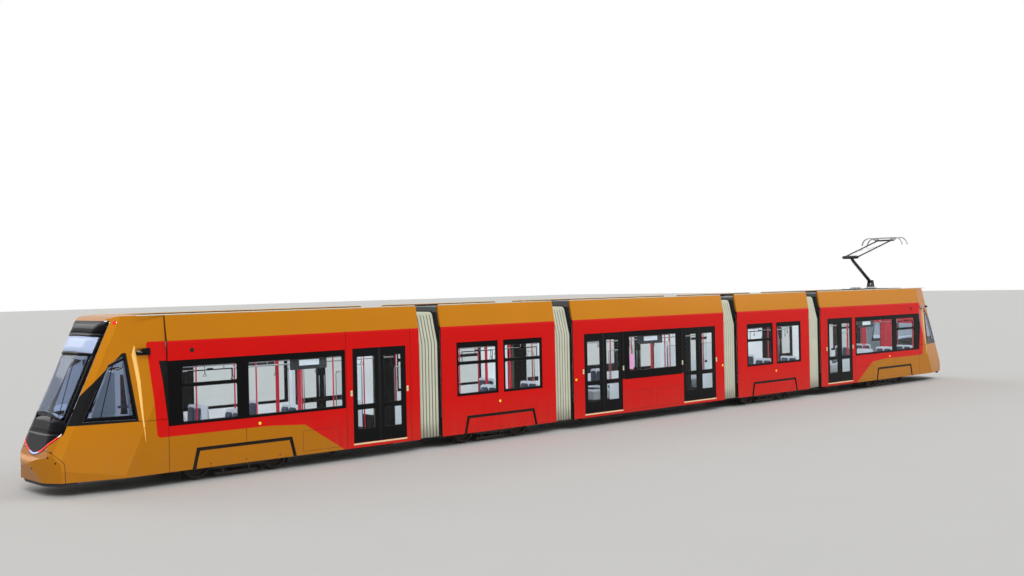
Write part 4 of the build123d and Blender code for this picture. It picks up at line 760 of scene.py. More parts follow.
def rounded(outline: Sequence[Spot], radius: float, steps: int = 4) -> list[Spot]:
    """The outline with its corners rounded."""
    result: list[Spot] = []
    count = len(outline)
    for i in range(count):
        before, corner, after = (Vector(outline[(i + k) % count]) for k in (-1, 0, 1))
        a, b = (before - corner), (after - corner)
        reach = min(radius, a.length / 2, b.length / 2)
        start, end = corner + a.normalized() * reach, corner + b.normalized() * reach
        for k in range(steps + 1):
            t = k / steps
            result.append(tuple(start * (1 - t) ** 2 + corner * 2 * t * (1 - t) + end * t * t))
    return result


def rectangle(x: Span, z: Span) -> list[Spot]:
    """The corners of a rectangle in the plane of the side."""
    return [(x[0], z[0]), (x[1], z[0]), (x[1], z[1]), (x[0], z[1])]


def about(middle: float, half: float) -> Span:
    """A span to both sides of its middle."""
    return middle - half, middle + half


def opening(x: Span, z: Span, inset: float, radius: float) -> list[Spot]:
    """A rectangle in the plane of the side, drawn in all round, with rounded corners."""
    return rounded(rectangle((x[0] + inset, x[1] - inset), (z[0] + inset, z[1] - inset)), radius)


class Shape:
    """Gathers the faces of one piece, each with the number of its finish."""

    def __init__(self) -> None:
        """Start with no faces."""
        self.points: list[Vector] = []
        self.faces: list[tuple[int, ...]] = []
        self.finishes: list[int] = []
        self.smooth: list[bool] = []

    def add(
        self, points: Iterable, faces: Iterable, finish: int = 0, smooth: bool = False, back: int = 0
    ) -> None:
        """Add points, and faces that number them from the first of them or from so many points before."""
        start = len(self.points) - back
        self.points += [Vector(p) for p in points]
        for face in faces:
            self.faces.append(tuple(start + i for i in face))
            self.finishes.append(finish)
            self.smooth.append(smooth)

    def box(self, x: Span, y: Span, z: Span, edge: float = 0.004, finish: int = 0) -> None:
        """A block given by its two ends along each axis, with its edges cut back."""
        spans = [sorted(s) for s in (x, y, z)]
        edge = min([edge] + [(s[1] - s[0]) * 0.49 for s in spans])
        corners = list(itertools.product((0, 1), repeat=3))
        points = []
        for corner in corners:
            full = [spans[i][corner[i]] for i in range(3)]
            inner = [full[i] + (edge, -edge)[corner[i]] for i in range(3)]
            points += [[full[i] if i == axis else inner[i] for i in range(3)] for axis in range(3)]
        at = {corner: 3 * n for n, corner in enumerate(corners)}
        faces: list[Sequence[int]] = [(at[c], at[c] + 1, at[c] + 2) for c in corners]
        for axis in range(3):
            one, two = [i for i in range(3) if i != axis]
            for end in (0, 1):
                loop = []
                for a, b in ((0, 0), (1, 0), (1, 1), (0, 1)):
                    c = [0, 0, 0]
                    c[axis], c[one], c[two] = end, a, b
                    loop.append(at[tuple(c)] + axis)
                faces.append(loop)
            for a, b in itertools.product((0, 1), repeat=2):
                c = [0, 0, 0]
                c[one], c[two] = a, b
                low = at[tuple(c)]
                c[axis] = 1
                high = at[tuple(c)]
                faces.append((low + one, high + one, high + two, low + two))
        self.add(points, faces, finish)

    def rings(self, rings: Sequence[Sequence[Vector]], finish: int = 0, smooth: bool = True) -> None:
        """A skin over closed rings of as many points each, with flat ends."""
        count = len(rings[0])
        total = count * len(rings)
        pairs = [(i, (i + 1) % count) for i in range(count)]
        skin = [
            (r + i, r + j, r + count + j, r + count + i) for r in range(0, total - count, count)
            for i, j in pairs
        ]
        self.add([p for ring in rings for p in ring], skin, finish, smooth)
        self.add((), (range(count), range(total - count, total)), finish, back=total)

    def lathe(
        self, centre: Sequence, axis: Sequence, profile: Sequence[Spot], sides: int = 20, finish: int = 0
    ) -> None:
        """A turned form: how far along the axis and how wide, point by point."""
        middle, along = Vector(centre), Vector(axis).normalized()
        across = square_to(along)
        rings = [
            circle(middle + along * distance, across, max(radius, 1e-4), sides) for distance, radius in profile
        ]
        self.rings(rings, finish, sides > 6)

    def rod(self, start: Sequence, end: Sequence, radius: float, sides: int = 12, finish: int = 0) -> None:
        """A straight bar with its ends just rounded off."""
        reach = (Vector(end) - Vector(start)).length
        soft = min(radius * 0.3, reach * 0.3)
        profile = [(0, radius - soft), (soft, radius), (reach - soft, radius), (reach, radius - soft)]
        self.lathe(start, Vector(end) - Vector(start), profile, sides, finish)

    def sweep(self, path: Sequence[Sequence], radius: float, sides: int = 8, finish: int = 0) -> None:
        """A bar bent along a path."""
        spots = [Vector(p) for p in path]
        side, _ = square_to(spots[1] - spots[0])
        rings = []
        for i, spot in enumerate(spots):
            ahead = spots[min(i + 1, len(spots) - 1)] - spots[max(i - 1, 0)]
            side = (side - ahead * side.dot(ahead) / ahead.length_squared).normalized()
            rings.append(circle(spot, (side, ahead.normalized().cross(side)), radius, sides))
        self.rings(rings, finish)

    def prism(self, outline: Sequence[Spot], across: Span, axis: str = "y", finish: int = 0) -> None:
        """An outline pushed along an axis: (x, z) along y, (y, z) along x, or (x, y) along z."""
        order = {"x": (2, 0, 1), "y": (0, 2, 1), "z": (0, 1, 2)}[axis]
        self.rings([[Vector([(*p, d)[i] for i in order]) for p in outline] for d in across], finish, False)

    def sheet(self, rows: Sequence[Sequence[Vector]], depth: float, finish: int = 0) -> None:
        """A curved sheet with a thickness, from rows of points on its outer side.

        Args:
            rows: The rows of points, all as long.
            depth: How far the inner side lies behind the outer one.
            finish: The number of its finish.
        """
        height, width = len(rows), len(rows[0])
        inner = []
        for r in range(height):
            for c in range(width):
                across = rows[r][min(c + 1, width - 1)] - rows[r][max(c - 1, 0)]
                down = rows[min(r + 1, height - 1)][c] - rows[max(r - 1, 0)][c]
                normal = across.cross(down).normalized()
                inner.append(rows[r][c] + normal * depth)
        points = [p for row in rows for p in row] + inner
        back = height * width
        faces = []
        for r in range(height - 1):
            for c in range(width - 1):
                a = r * width + c
                faces.append((a, a + 1, a + width + 1, a + width))
                faces.append((back + a, back + a + width, back + a + width + 1, back + a + 1))
        edge = [*range(width), *(r * width + width - 1 for r in range(1, height))]
        edge += [*range(back - 2, back - width - 1, -1), *(r * width for r in range(height - 2, 0, -1))]
        for a, b in zip(edge, edge[1:] + edge[:1]):
            faces.append((a, b, back + b, back + a))
        self.add(points, faces, finish, True)

    def plate(
        self, outline: Sequence[Spot], holes: Sequence[Sequence[Spot]], y: Span, edge: float = 0.003,
        finish: int = 0,
    ) -> None:
        """A flat plate in the plane of the side, with openings and softened edges.

        Args:
            outline: Its corners as (x, z).
            holes: The corners of each opening.
            y: Its two faces.
            edge: How far its edges are rounded.
            finish: The number of its finish.
        """
        curve = bpy.data.curves.new("plate", "CURVE")
        curve.dimensions, curve.fill_mode = "2D", "BOTH"
        for loop in [outline, *holes]:
            spline = curve.splines.new("POLY")
            spline.points.add(len(loop) - 1)
            for point, (x, z) in zip(spline.points, loop):
                point.co = (x, z, 0, 1)
            spline.use_cyclic_u = True
        depth = abs(y[1] - y[0])
        edge = min(edge, depth * 0.4)
        curve.extrude, curve.bevel_depth, curve.offset = depth / 2 - edge, edge, -edge
        curve.bevel_resolution = 1
        holder = bpy.data.objects.new("plate", curve)
        mesh = bpy.data.meshes.new_from_object(holder)
        middle = (y[0] + y[1]) / 2
        points = [(v.co.x, middle + v.co.z, v.co.y) for v in mesh.vertices]
        self.add(points, [tuple(p.vertices) for p in mesh.polygons], finish)
        bpy.data.objects.remove(holder)
        bpy.data.curves.remove(curve)
        bpy.data.meshes.remove(mesh)

    def cushion(self, centre: Sequence, sizes: Sequence[float], lean: float = 0.0, finish: int = 0) -> None:
        """A crowned pad whose sides pull in between its corners.

        Args:
            centre: Its middle.
            sizes: Its length along X, Y and Z.
            lean: How far it is tipped about Y, in radians.
            finish: The number of its finish.
        """
        turn = Matrix.Rotation(lean, 3, "Y")
        rings = []
        for i in range(1, 9):
            v = -pi / 2 + pi * i / 9
            flat = copysign(abs(sin(v)) ** 0.55, sin(v))
            wide = cos(v) ** 0.38
            ring = []
            for k in range(20):
                u = 2 * pi * k / 20
                a = copysign(abs(cos(u)) ** 0.34, cos(u))
                b = copysign(abs(sin(u)) ** 0.34, sin(u))
                pull = 1 - 0.035 * (1 - abs(a * b))
                local = Vector((a * wide * pull * sizes[0], b * wide * pull * sizes[1], flat * sizes[2])) / 2
                ring.append(Vector(centre) + turn @ local)
            rings.append(ring)
        self.rings(rings, finish)

    def bolt(self, centre: Sequence, normal: Sequence, radius: float = 0.01, finish: int = 0) -> None:
        """A hexagon head on a washer, its foot at the centre."""
        self.lathe(centre, normal, [(0, radius * 1.5), (radius * 0.25, radius * 1.5)], 10, finish)
        top = [(radius * 0.25, radius), (radius * 0.85, radius), (radius, radius * 0.8)]
        self.lathe(centre, normal, top, 6, finish)

    def join(self, other: "Shape", change: Matrix = Matrix()) -> "Shape":
        """Take in another shape's faces, as they are or moved or mirrored."""
        start = len(self.points)
        self.points += [change @ p for p in other.points]
        self.faces += [tuple(start + i for i in f) for f in other.faces]
        self.finishes += other.finishes
        self.smooth += other.smooth
        return self

    def both_sides(self) -> "Shape":
        """This shape and its mirror image on the tram's other side."""
        return self.join(self, MIRROR)

    def mesh(self, name: str) -> bpy.types.Object:
        """Make the object, with its faces turned outwards."""
        mesh = bpy.data.meshes.new(name)
        mesh.from_pydata([tuple(p) for p in self.points], [], self.faces)
        mesh.polygons.foreach_set("material_index", self.finishes)
        mesh.polygons.foreach_set("use_smooth", self.smooth)
        work = bmesh.new()
        work.from_mesh(mesh)
        bmesh.ops.recalc_face_normals(work, faces=work.faces)
        work.to_mesh(mesh)
        work.free()
        mesh.update()
        piece = bpy.data.objects.new(name, mesh)
        bpy.context.scene.collection.objects.link(piece)
        return piece


def dress(piece: bpy.types.Object, finishes: Sequence[object]) -> None:
    """Give a piece its materials."""
    if piece.data.materials:
        piece.data.materials.clear()
    for finish in finishes:
        piece.data.materials.append(finish.material())


def place(
    shape: Shape, name: str, body: str, finishes: Sequence[object], slot: str, replaces: Sequence[str] = ()
) -> bpy.types.Object:
    """Make a piece and let it ride on a body.

    Args:
        shape: Its faces.
        name: Its name.
        body: The body that it rides on.
        finishes: Its finishes, in the order of their numbers.
        slot: Not used.
        replaces: The model's nodes that it stands for.

    Returns:
        The piece.
    """
    piece = shape.mesh(name)
    dress(piece, finishes)
    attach(piece, body)
    if replaces:
        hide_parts(*replaces)
    log.info("%s: %d faces on %s", name, len(piece.data.polygons), body)
    return piece


def place_cars(
    shape: Shape, label: str, cars: str, finishes: Sequence[object], slot: str, replaces: str = ""
) -> list[bpy.types.Object]:
    """Make a piece for one car, or for a car at -X and turned half round for its matching car.

    Args:
        shape: Its faces, at the first car.
        label: Its name without the car.
        cars: The cars' letters, one or two.
        finishes: Its finishes, in the order of their numbers.
        slot: Passed on to place, which does not use it.
        replaces: The node that it stands for, without the car.

    Returns:
        The pieces.
    """
    made = []
    for letter, turn in zip(cars, (Matrix(), HALF_TURN)):
        body = f"car_{letter}"
        nodes = [f"{body}_{replaces}"] if replaces else []
        made.append(place(Shape().join(shape, turn), f"{body}_{label}", body, finishes, slot, nodes))
    return made


class Skin:
    """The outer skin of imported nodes, which fitted pieces are laid on."""

    def __init__(self, *nodes: str) -> None:
        """Take the nodes' faces together."""
        points: list[Vector] = []
        faces: list[tuple[int, ...]] = []
        for node in nodes:
            mesh = frame["nodes"][node].data
            start = len(points)
            points += [v.co.copy() for v in mesh.vertices]
            faces += [tuple(start + i for i in p.vertices) for p in mesh.polygons]
        self.tree = BVHTree.FromPolygons(points, faces)

    def front(self, y: float, z: float, inside: float = 0.0) -> Vector:
        """The point of the front seen from ahead at y and z, drawn in by so much."""
        for nudge in (0.0, 0.002, -0.002, 0.006, -0.006, 0.012, -0.012):
            spot, normal, _, _ = self.tree.ray_cast(Vector((-18, y, z + nudge)), Vector((1, 0, 0)))
            if spot is not None:
                return Vector((spot.x, y, z)) - normal * (inside if normal.x < 0 else -inside)
        raise ValueError(f"the front has no skin at y {y:.3f} z {z:.3f}")

    def side(self, x: float, z: float, inside: float = 0.0) -> Vector:
        """The point of the -Y side seen from outside at x and z, drawn in by so much."""
        for nudge in (0.0, 0.003, -0.003, 0.008, -0.008):
            spot, normal, _, _ = self.tree.ray_cast(Vector((x, -3, z + nudge)), Vector((0, 1, 0)))
            if spot is not None:
                return Vector((x, spot.y, z)) - normal * (inside if normal.y < 0 else -inside)
        raise ValueError(f"the side has no skin at x {x:.3f} z {z:.3f}")


# Glazing and doors


@dataclass
class Window:
    """One window band: where it is, and its panes, of which some have a tilting vent above."""

    x: Span
    panes: list[Span]
    vents: list[bool]
    sill: float = 1.245


@dataclass
class Glazing:
    """The black window frames, panes, tilting vents and their catches of a car's sides."""

    z: Span = (1.1903, 2.4697)
    front: float = 1.195
    depth: float = 0.04
    glass_front: float = 1.188
    glass_thick: float = 0.006
    head: float = 2.34
    bar: Span = (1.94, 2.0)
    corner: float = 0.045
    sash_inset: float = 0.11
    sash_width: float = 0.022

    def panes(self, window: Window) -> list[tuple[Span, Span]]:
        """The clear openings of a window as pairs of spans, along and up."""
        found = []
        for x, vent in zip(window.panes, window.vents):
            if vent:
                found += [(x, (window.sill, self.bar[0])), (x, (self.bar[1], self.head))]
            else:
                found.append((x, (window.sill, self.head)))
        return found

    def sash(self, shape: Shape, x: Span) -> None:
        """The tilting vent's inner frame, open below, with its catch in the middle."""
        low, high = self.bar[1] - 0.002, self.head - 0.09
        left, right = x[0] + self.sash_inset, x[1] - self.sash_inset
        outer = [(left, low), (left, high), (right, high), (right, low)]
        w = self.sash_width
        inner = [(right - w, low), (right - w, high - w), (left + w, high - w), (left + w, low)]
        shape.prism(outer + inner, (-self.glass_front - 0.004, -self.glass_front + 0.001), finish=0)
        middle = (x[0] + x[1]) / 2
        shape.box(about(middle, 0.07), (-1.194, -1.187), (high - 0.01, high + 0.022), 0.003, 0)

    def glass(self, shape: Shape, x: Span, z: Span) -> None:
        """One pane, its edges held in the frame."""
        shape.prism(
            opening(x, z, -0.008, self.corner), (-self.glass_front, -self.glass_front + self.glass_thick),
            finish=0,
        )

    def side(self, windows: Sequence[Window]) -> tuple[Shape, Shape, Shape]:
        """The frames, the glass and the seals of the -Y side."""
        frames, glass, seals = Shape(), Shape(), Shape()
        for window in windows:
            holes = []
            for x, z in self.panes(window):
                holes.append(opening(x, z, 0, self.corner))
                self.glass(glass, x, z)
                rim = opening(x, z, 0.001, self.corner)
                lip = opening(x, z, 0.011, self.corner - 0.01)
                seals.plate(rim, [lip], (-self.glass_front - 0.0035, -self.glass_front), 0.001)
            outline = rounded(rectangle((window.x[0] + 0.0005, window.x[1] - 0.0005), self.z), 0.012, 2)
            frames.plate(outline, holes, (-self.front, -self.front + self.depth), 0.003)
            for x, vent in zip(window.panes, window.vents):
                if vent:
                    self.sash(frames, x)
        return frames, glass, seals

    def build(self, car: str, windows: Sequence[Window]) -> None:
        """Make one car's frames, glass and seals on both sides."""
        frames, glass, seals = (shape.both_sides() for shape in self.side(windows))
        place_cars(frames, "window_frames", car, [Finish.FRAME_BLACK], "window_dark", "windows")
        place_cars(seals, "window_seals", car, [Finish.RUBBER], "window_dark")
        place_cars(glass, "window_glass", car, [Finish.WINDOW_GLASS], "window_dark")


@dataclass
class Doors:
    """Pairs of sliding leaves with two panes each, their rubbers, buttons and sill strips."""

    z: Span = (0.3923, 2.4797)
    half: float = 0.7297
    nose_gap: float = 0.001
    front: float = 1.192
    depth: float = 0.036
    stile: float = 0.12
    panes: tuple[Span, Span] = ((0.69, 1.13), (1.23, 2.30))
    finishes: tuple = (Finish.DOOR_BLACK, Finish.RUBBER, Finish.STEEL, Finish.GREEN_RING, Finish.SILL)

    def leaf(self, shape: Shape, glass: Shape, door: float, side: int) -> None:
        """One leaf of the -Y side, with its rubbers, button and the glass in it."""
        near, far = door + side * self.nose_gap, door + side * self.half
        x = tuple(sorted((near, far)))
        holes = []
        for z in self.panes:
            pane = (x[0] + self.stile, x[1] - self.stile)
            holes.append(opening(pane, z, 0, 0.035))
            glass.prism(opening(pane, z, -0.008, 0.035), (-self.front + 0.008, -self.front + 0.014))
            shape.plate(
                holes[-1], [opening(pane, z, 0.01, 0.027)], (-self.front + 0.004, -self.front + 0.008), 0.001, 1
            )
        shape.plate(
            rounded(rectangle(x, self.z), 0.008, 2), holes, (-self.front, -self.front + self.depth), 0.004
        )
        seal = near + side * 0.011
        shape.rod(
            (seal, -self.front + 0.001, self.z[0] + 0.02), (seal, -self.front + 0.001, self.z[1] - 0.02),
            0.009, 10, 1,
        )
        shape.rod(
            (seal + side * 0.03, -SKIN + 0.0065, 0.62), (seal + side * 0.03, -SKIN + 0.0065, 2.36), 0.003, 6, 1
        )
        grip = near + side * 0.07
        shape.rod((grip, -SKIN + 0.057, 1.24), (grip, -SKIN + 0.057, 1.75), 0.011, 10, 2)
        for end in (1.27, 1.72):
            shape.rod((grip, -SKIN + 0.042, end), (grip, -SKIN + 0.057, end), 0.009, 8, 2)

    def button(self, shape: Shape, x: float, z: float) -> None:
        """An opening button with its lit ring, on a pale plate beside the door."""
        shape.box(about(x, 0.026), (-SKIN - 0.0045, -SKIN + 0.001), about(z, 0.06), 0.002, 4)
        shape.lathe(
            (x, -SKIN - 0.004, z + 0.015), (0, -1, 0), [(0, 0.024), (0.0025, 0.024), (0.003, 0.02)], 20, 3
        )
        shape.lathe(
            (x, -SKIN - 0.004, z + 0.015), (0, -1, 0), [(0, 0.017), (0.004, 0.017), (0.005, 0.012)], 16, 2
        )

    def side(self, doors: Sequence[float]) -> tuple[Shape, Shape]:
        """The leaves and the glass of the -Y side."""
        leaves, glass = Shape(), Shape()
        for door in doors:
            for side in SIDES:
                self.leaf(leaves, glass, door, side)
            for side in SIDES:
                self.button(leaves, door + side * 0.772, 1.5)
            leaves.box(about(door, 0.735), (-SKIN - 0.0035, -SKIN + 0.025), (0.352, 0.386), 0.003, 4)
            for k in range(-3, 4):
                leaves.box(about(door + k * 0.2, 0.06), (-SKIN + 0.002, -SKIN + 0.04), (0.386, 0.391), 0.001, 2)
            leaves.box(about(door, 0.73), (-SKIN + 0.01, -SKIN + 0.035), (2.482, 2.5), 0.003, 1)
        return leaves, glass

    def build(self, cars: str, doors: Sequence[float]) -> None:
        """Make the doors of one car, or of a car and its turned copy."""
        leaves, glass = (shape.both_sides() for shape in self.side(doors))
        place_cars(leaves, "door_leaves", cars, self.finishes, "door_dark", "doors")
        place_cars(glass, "door_glass", cars, [Finish.WINDOW_GLASS], "door_dark")


# Saloon


@dataclass
class Bench:
    """A bench for two: where its back stands, its sides, which way it faces and what it stands on."""

    x: float
    y: Span
    facing: int
    base: float
    places: int = 2
    depth: float = 0.43
    height: float = 0.64

    def build(self, shell: Shape, pads: Shape) -> None:
        """Add the moulded shell, its edge bead and the crowned pads."""
        y0, y1 = sorted(self.y)

        def at(forward: float, up: float) -> Spot:
            """A point of the side view."""
            return (self.x + self.facing * forward, self.base + up)

        profile = [
            at(0.004, 0.004), at(0.40, 0.004), at(0.42, 0.03), at(0.40, 0.065), at(0.12, 0.055), at(0.052, 0.12)
        ]
        profile += [at(0.03, 0.35), at(0.022, 0.60), at(0.014, 0.625), at(0.004, 0.61)]
        shell.prism(rounded(profile, 0.012, 2), (y0, y1))
        for y in (y0 + 0.006, y1 - 0.006):
            path = [at(0.40, 0.07), at(0.14, 0.066), at(0.075, 0.11), at(0.05, 0.35), at(0.035, 0.61)]
            shell.sweep([(p[0], y, p[1]) for p in path], 0.006, 6)
        width = (y1 - y0) / self.places
        for k in range(self.places):
            middle = y0 + width * (k + 0.5)
            base = at(0.245, 0.088)
            pads.cushion((base[0], middle, base[1]), (0.33, width - 0.03, 0.062), -self.facing * 0.05)
            back = at(0.053, 0.37)
            pads.cushion((back[0], middle, back[1]), (0.05, width - 0.03, 0.42), -self.facing * 0.04)
        if self.places == 2:
            top = at(0.018, 0.628)
            shell.sweep([(top[0], y0 + 0.05, top[1]), (top[0], y1 - 0.05, top[1])], 0.008, 8)


@dataclass
class Saloon:
    """A car's inside: ceiling with lamps, handrails, benches, screens beside the doors and displays."""

    car: str
    x: Span
    benches: list[Bench]
    poles: list[tuple[float, float, float]]
    screens: list[float] = field(default_factory=list)
    signs: list[tuple[float, float]] = field(default_factory=list)
    posts: list[tuple[float, float]] = field(default_factory=list)
    notices: list[float] = field(default_factory=list)
    ceiling: float = 2.6
    wall: float = 1.149
    finishes: tuple = (
        Finish.CEILING, Finish.CEILING_LAMP, Finish.POLE, Finish.STEEL, Finish.PANEL, Finish.CONSOLE,
        Finish.PARTITION_RED, Finish.NOTICE,
    )

    def overhead(self, shape: Shape) -> None:
        """The ceiling's panels, its two rows of lamps and the coves over the windows."""
        low = self.ceiling
        section = [(-0.9, low), (-0.34, low + 0.006), (0.34, low + 0.006), (0.9, low), (self.wall, low - 0.06)]
        section += [
            (self.wall, low - 0.03), (0.9, low + 0.03), (-0.9, low + 0.03), (-self.wall, low - 0.03),
            (-self.wall, low - 0.06),
        ]
        shape.prism(section, self.x, "x", 0)
        for side in SIDES:
            shape.prism(
                [
                    (side * 0.40, low - 0.018), (side * 0.52, low - 0.018), (side * 0.53, low + 0.003),
                    (side * 0.39, low + 0.003),
                ],
                self.x, "x", 1,
            )
            cove = [
                (side * self.wall, 2.36), (side * 1.12, 2.35), (side * 1.02, 2.5), (side * 0.96, low - 0.012),
                (side * self.wall, low - 0.05),
            ]
            shape.prism(cove, self.x, "x", 0)
            for x in self.steps(0.62):
                shape.box(about(x, 0.002), (side * 0.55, side * 0.95), (low - 0.004, low), 0.001, 5)
        for x in self.steps(0.9):
            shape.box(about(x, 0.16), (-0.14, 0.14), (low - 0.006, low + 0.004), 0.003, 5)
            for k in range(5):
                shape.box(
                    about(x, 0.15), (-0.11 + k * 0.05, -0.09 + k * 0.05), (low - 0.009, low - 0.005), 0.001, 3
                )

    def steps(self, pitch: float) -> list[float]:
        """Places along the ceiling at about this pitch."""
        count = max(1, round((self.x[1] - self.x[0]) / pitch))
        return [self.x[0] + (self.x[1] - self.x[0]) * (k + 0.5) / count for k in range(count)]

    def rails(self, shape: Shape) -> None:
        """Upright poles with their sockets, and the long rails under the ceiling."""
        for x, y, foot in self.poles:
            shape.rod((x, y, foot + 0.001), (x, y, self.ceiling), 0.016, 12, 2)
            for z, way in ((foot, 1), (self.ceiling, -1)):
                shape.lathe((x, y, z), (0, 0, way), [(0, 0.032), (0.012, 0.03), (0.03, 0.019)], 14, 3)
        for side in SIDES:
            y = side * 0.6
            shape.rod((self.x[0] + 0.25, y, 2.2), (self.x[1] - 0.25, y, 2.2), 0.015, 10, 3)
            for x in self.steps(1.1):
                shape.rod((x, y, 2.2), (x, y, self.ceiling), 0.009, 8, 3)
                loop = [
                    (x + 0.2, y, 2.185), (x + 0.2, y, 2.05), (x + 0.16, y, 1.97), (x + 0.24, y, 1.97),
                    (x + 0.205, y, 2.05),
                ]
                shape.sweep(loop, 0.007, 6, 5)

    def wall_screens(self, shape: Shape, glass: Shape) -> None:
        """Draught screens beside the doorways: a panel below, glass above and a rail on the edge."""
        for x in self.screens:
            for side in SIDES:
                y = tuple(sorted((side * 0.66, side * 1.148)))
                shape.box(about(x, 0.012), y, (0.47, 1.12), 0.006, 4)
                glass.box(about(x, 0.004), y, (1.13, 1.95), 0.002)
                rail = side * 0.655
                shape.sweep(
                    [(x, rail, 0.47), (x, rail, 1.9), (x, rail + side * 0.03, 1.97), (x, side * 1.14, 1.99)],
                    0.012, 8, 3,
                )

    def panels(self, shape: Shape) -> None:
        """Narrow red posts beside the aisle, and pale blank notices inside the windows."""
        for x, foot in self.posts:
            for side in SIDES:
                shape.box(about(x, 0.045), (side * 0.44, side * 0.47), (foot, 2.59), 0.012, 6)
        for x in self.notices:
            for side in SIDES:
                shape.box(about(x, 0.1), (side * 1.13, side * 1.136), (1.45, 1.86), 0.002, 7)

    def displays(self, shape: Shape, lit: Shape) -> None:
        """Displays hung under the ceiling beside the windows, facing out, with blank lit faces."""
        for x, half in self.signs:
            for side in SIDES:
                y = side * 1.1
                shape.box((x - half * 1.8, x + half * 1.8), (y, y - side * 0.06), (2.1, 2.35), 0.006, 5)
                face = tuple(sorted((y + side * 0.001, y + side * 0.004)))
                lit.box((x - half, x + half), face, (2.185, 2.305), 0.001)

    def build(self) -> None:
        """Make the saloon's pieces."""
        fittings, shells, pads, glass, lit = Shape(), Shape(), Shape(), Shape(), Shape()
        self.overhead(fittings)
        self.rails(fittings)
        self.wall_screens(fittings, glass)
        self.panels(fittings)
        self.displays(fittings, lit)
        for bench in self.benches:
            bench.build(shells, pads)
        place_cars(fittings, "ceiling_and_rails", self.car, self.finishes, "cabin_light", "interior")
        place_cars(shells, "bench_shells", self.car, [Finish.SHELL], "cabin_light")
        for piece in place_cars(pads, "bench_pads", self.car, [Finish.BENCH_CLOTH], "cabin_light"):
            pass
        if glass.faces:
            place_cars(glass, "draught_glass", self.car, [Finish.WINDOW_GLASS], "cabin_light")
        if lit.faces:
            place_cars(lit, "displays", self.car, [Finish.SIGN], "lamp_lens")


# Cab and front


@dataclass
class Cab:
    """The driver's place: partition, desk with its instruments, chair and a lamp."""

    tip: float = -16.75
    seam: float = -14.41
    partition: float = 0.036
    finishes: tuple = (
        Finish.CONSOLE, Finish.PANEL, Finish.SIGN, Finish.STEEL, Finish.CEILING_LAMP, Finish.PARTITION_RED
    )

    def desk(self, shape: Shape) -> None:
        """The desk with its hood, screens, master handles and switches."""
        outline = [
            (0.87, 0.465), (1.05, 0.465), (1.09, 1.03), (1.02, 1.09), (0.78, 1.12), (0.66, 1.10), (0.60, 0.9)
        ]
        points = [(self.tip + back, z) for back, z in outline]
        shape.prism(rounded(points, 0.02, 3), (-0.56, 0.56), "y", 0)
        for y in (-0.32, 0.0, 0.32):
            shape.box((self.tip + 0.74, self.tip + 0.78), about(y, 0.12), (1.11, 1.24), 0.008, 0)
            shape.box((self.tip + 0.781, self.tip + 0.784), about(y, 0.1), (1.125, 1.225), 0.001, 2)
        for y in (-0.42, 0.42):
            shape.rod((self.tip + 0.95, y, 1.09), (self.tip + 0.93, y, 1.2), 0.012, 10, 3)
            shape.lathe((self.tip + 0.93, y, 1.19), (0, 0, 1), [(0, 0.02), (0.02, 0.03), (0.04, 0.02)], 14, 0)
        for k in range(9):
            y = -0.24 + k * 0.06
            shape.lathe(
                (self.tip + 0.93, y, 1.095), (0, 0, 1), [(0, 0.011), (0.012, 0.011), (0.016, 0.007)], 10, 3
            )

    def wall(self, shape: Shape, glass: Shape) -> None:
        """The wall behind the driver, with its two windows."""
        ahead, middle, behind = (self.seam - k for k in (self.partition, self.partition * 0.4, 0.001))
        for x, finish in (((ahead, middle), 1), ((middle, behind), 5)):
            for y in ((-1.14, -0.36), (-0.31, 0.31), (0.36, 1.14)):
                shape.box(x, y, (0.47, 0.96), 0.005, finish)
                shape.box(x, y, (2.12, 2.53), 0.005, finish)
            for y in ((-1.14, -0.92), (-0.36, 0.36), (0.92, 1.14)):
                shape.box(x, y, (0.96, 2.12), 0.005, finish)
        x = (ahead, behind)
        for y in ((-0.92, -0.36), (0.36, 0.92)):
            glass.box((self.seam - 0.02, self.seam - 0.014), y, (0.95, 2.13), 0.001)
        for y in (-0.335, 0.335):
            shape.box((x[0] - 0.004, x[1]), about(y, 0.025), (0.47, 2.53), 0.005, 3)
        shape.rod((self.seam - 0.06, 0.26, 1.05), (self.seam - 0.06, 0.26, 1.35), 0.01, 8, 3)

    def build(self) -> None:
        """Make both cabs' fittings and driver's chairs."""
        shape, glass = Shape(), Shape()
        self.desk(shape)
        self.wall(shape, glass)
        shape.box((-15.35, -14.75), (-0.12, 0.12), (3.22, 3.26), 0.01, 4)
        shape.box((-15.45, -14.6), (-0.75, 0.75), (3.262, 3.29), 0.01, 1)
        chair, pads = Shape(), Shape()
        x = self.tip + 1.95
        bench = Bench(x, (-0.225, 0.225), -1, 0.8, 1)
        bench.build(chair, pads)
        chair.lathe(
            (x - 0.215, 0, 0.462), (0, 0, 1),
            [(0, 0.16), (0.02, 0.16), (0.04, 0.07), (0.3, 0.06), (0.339, 0.11)], 20,
        )
        pads.cushion((x - 0.04, 0, 1.49), (0.05, 0.24, 0.13), 0.05)
        chair.rod((x - 0.03, -0.05, 1.41), (x - 0.03, -0.05, 1.47), 0.006, 8)
        chair.rod((x - 0.03, 0.05, 1.41), (x - 0.03, 0.05, 1.47), 0.006, 8)
        for y in (-0.26, 0.26):
            chair.box((x - 0.33, x - 0.07), about(y, 0.025), (1.02, 1.05), 0.01)
        place_cars(shape, "cab_fittings", "ae", self.finishes, "cabin_light")
        place_cars(glass, "partition_glass", "ae", [Finish.WINDOW_GLASS], "cabin_light")
        place_cars(chair, "driver_chair", "ae", [Finish.CONSOLE], "cabin_light")
        for piece in place_cars(pads, "driver_pads", "ae", [Finish.DRIVER_CLOTH], "cabin_light"):
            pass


@dataclass
class Level:
    """A line across the front: its height at the edges, its rise in the middle, and what lies below it."""

    edge: float
    rise: float
    below: str
    steps: int = 1


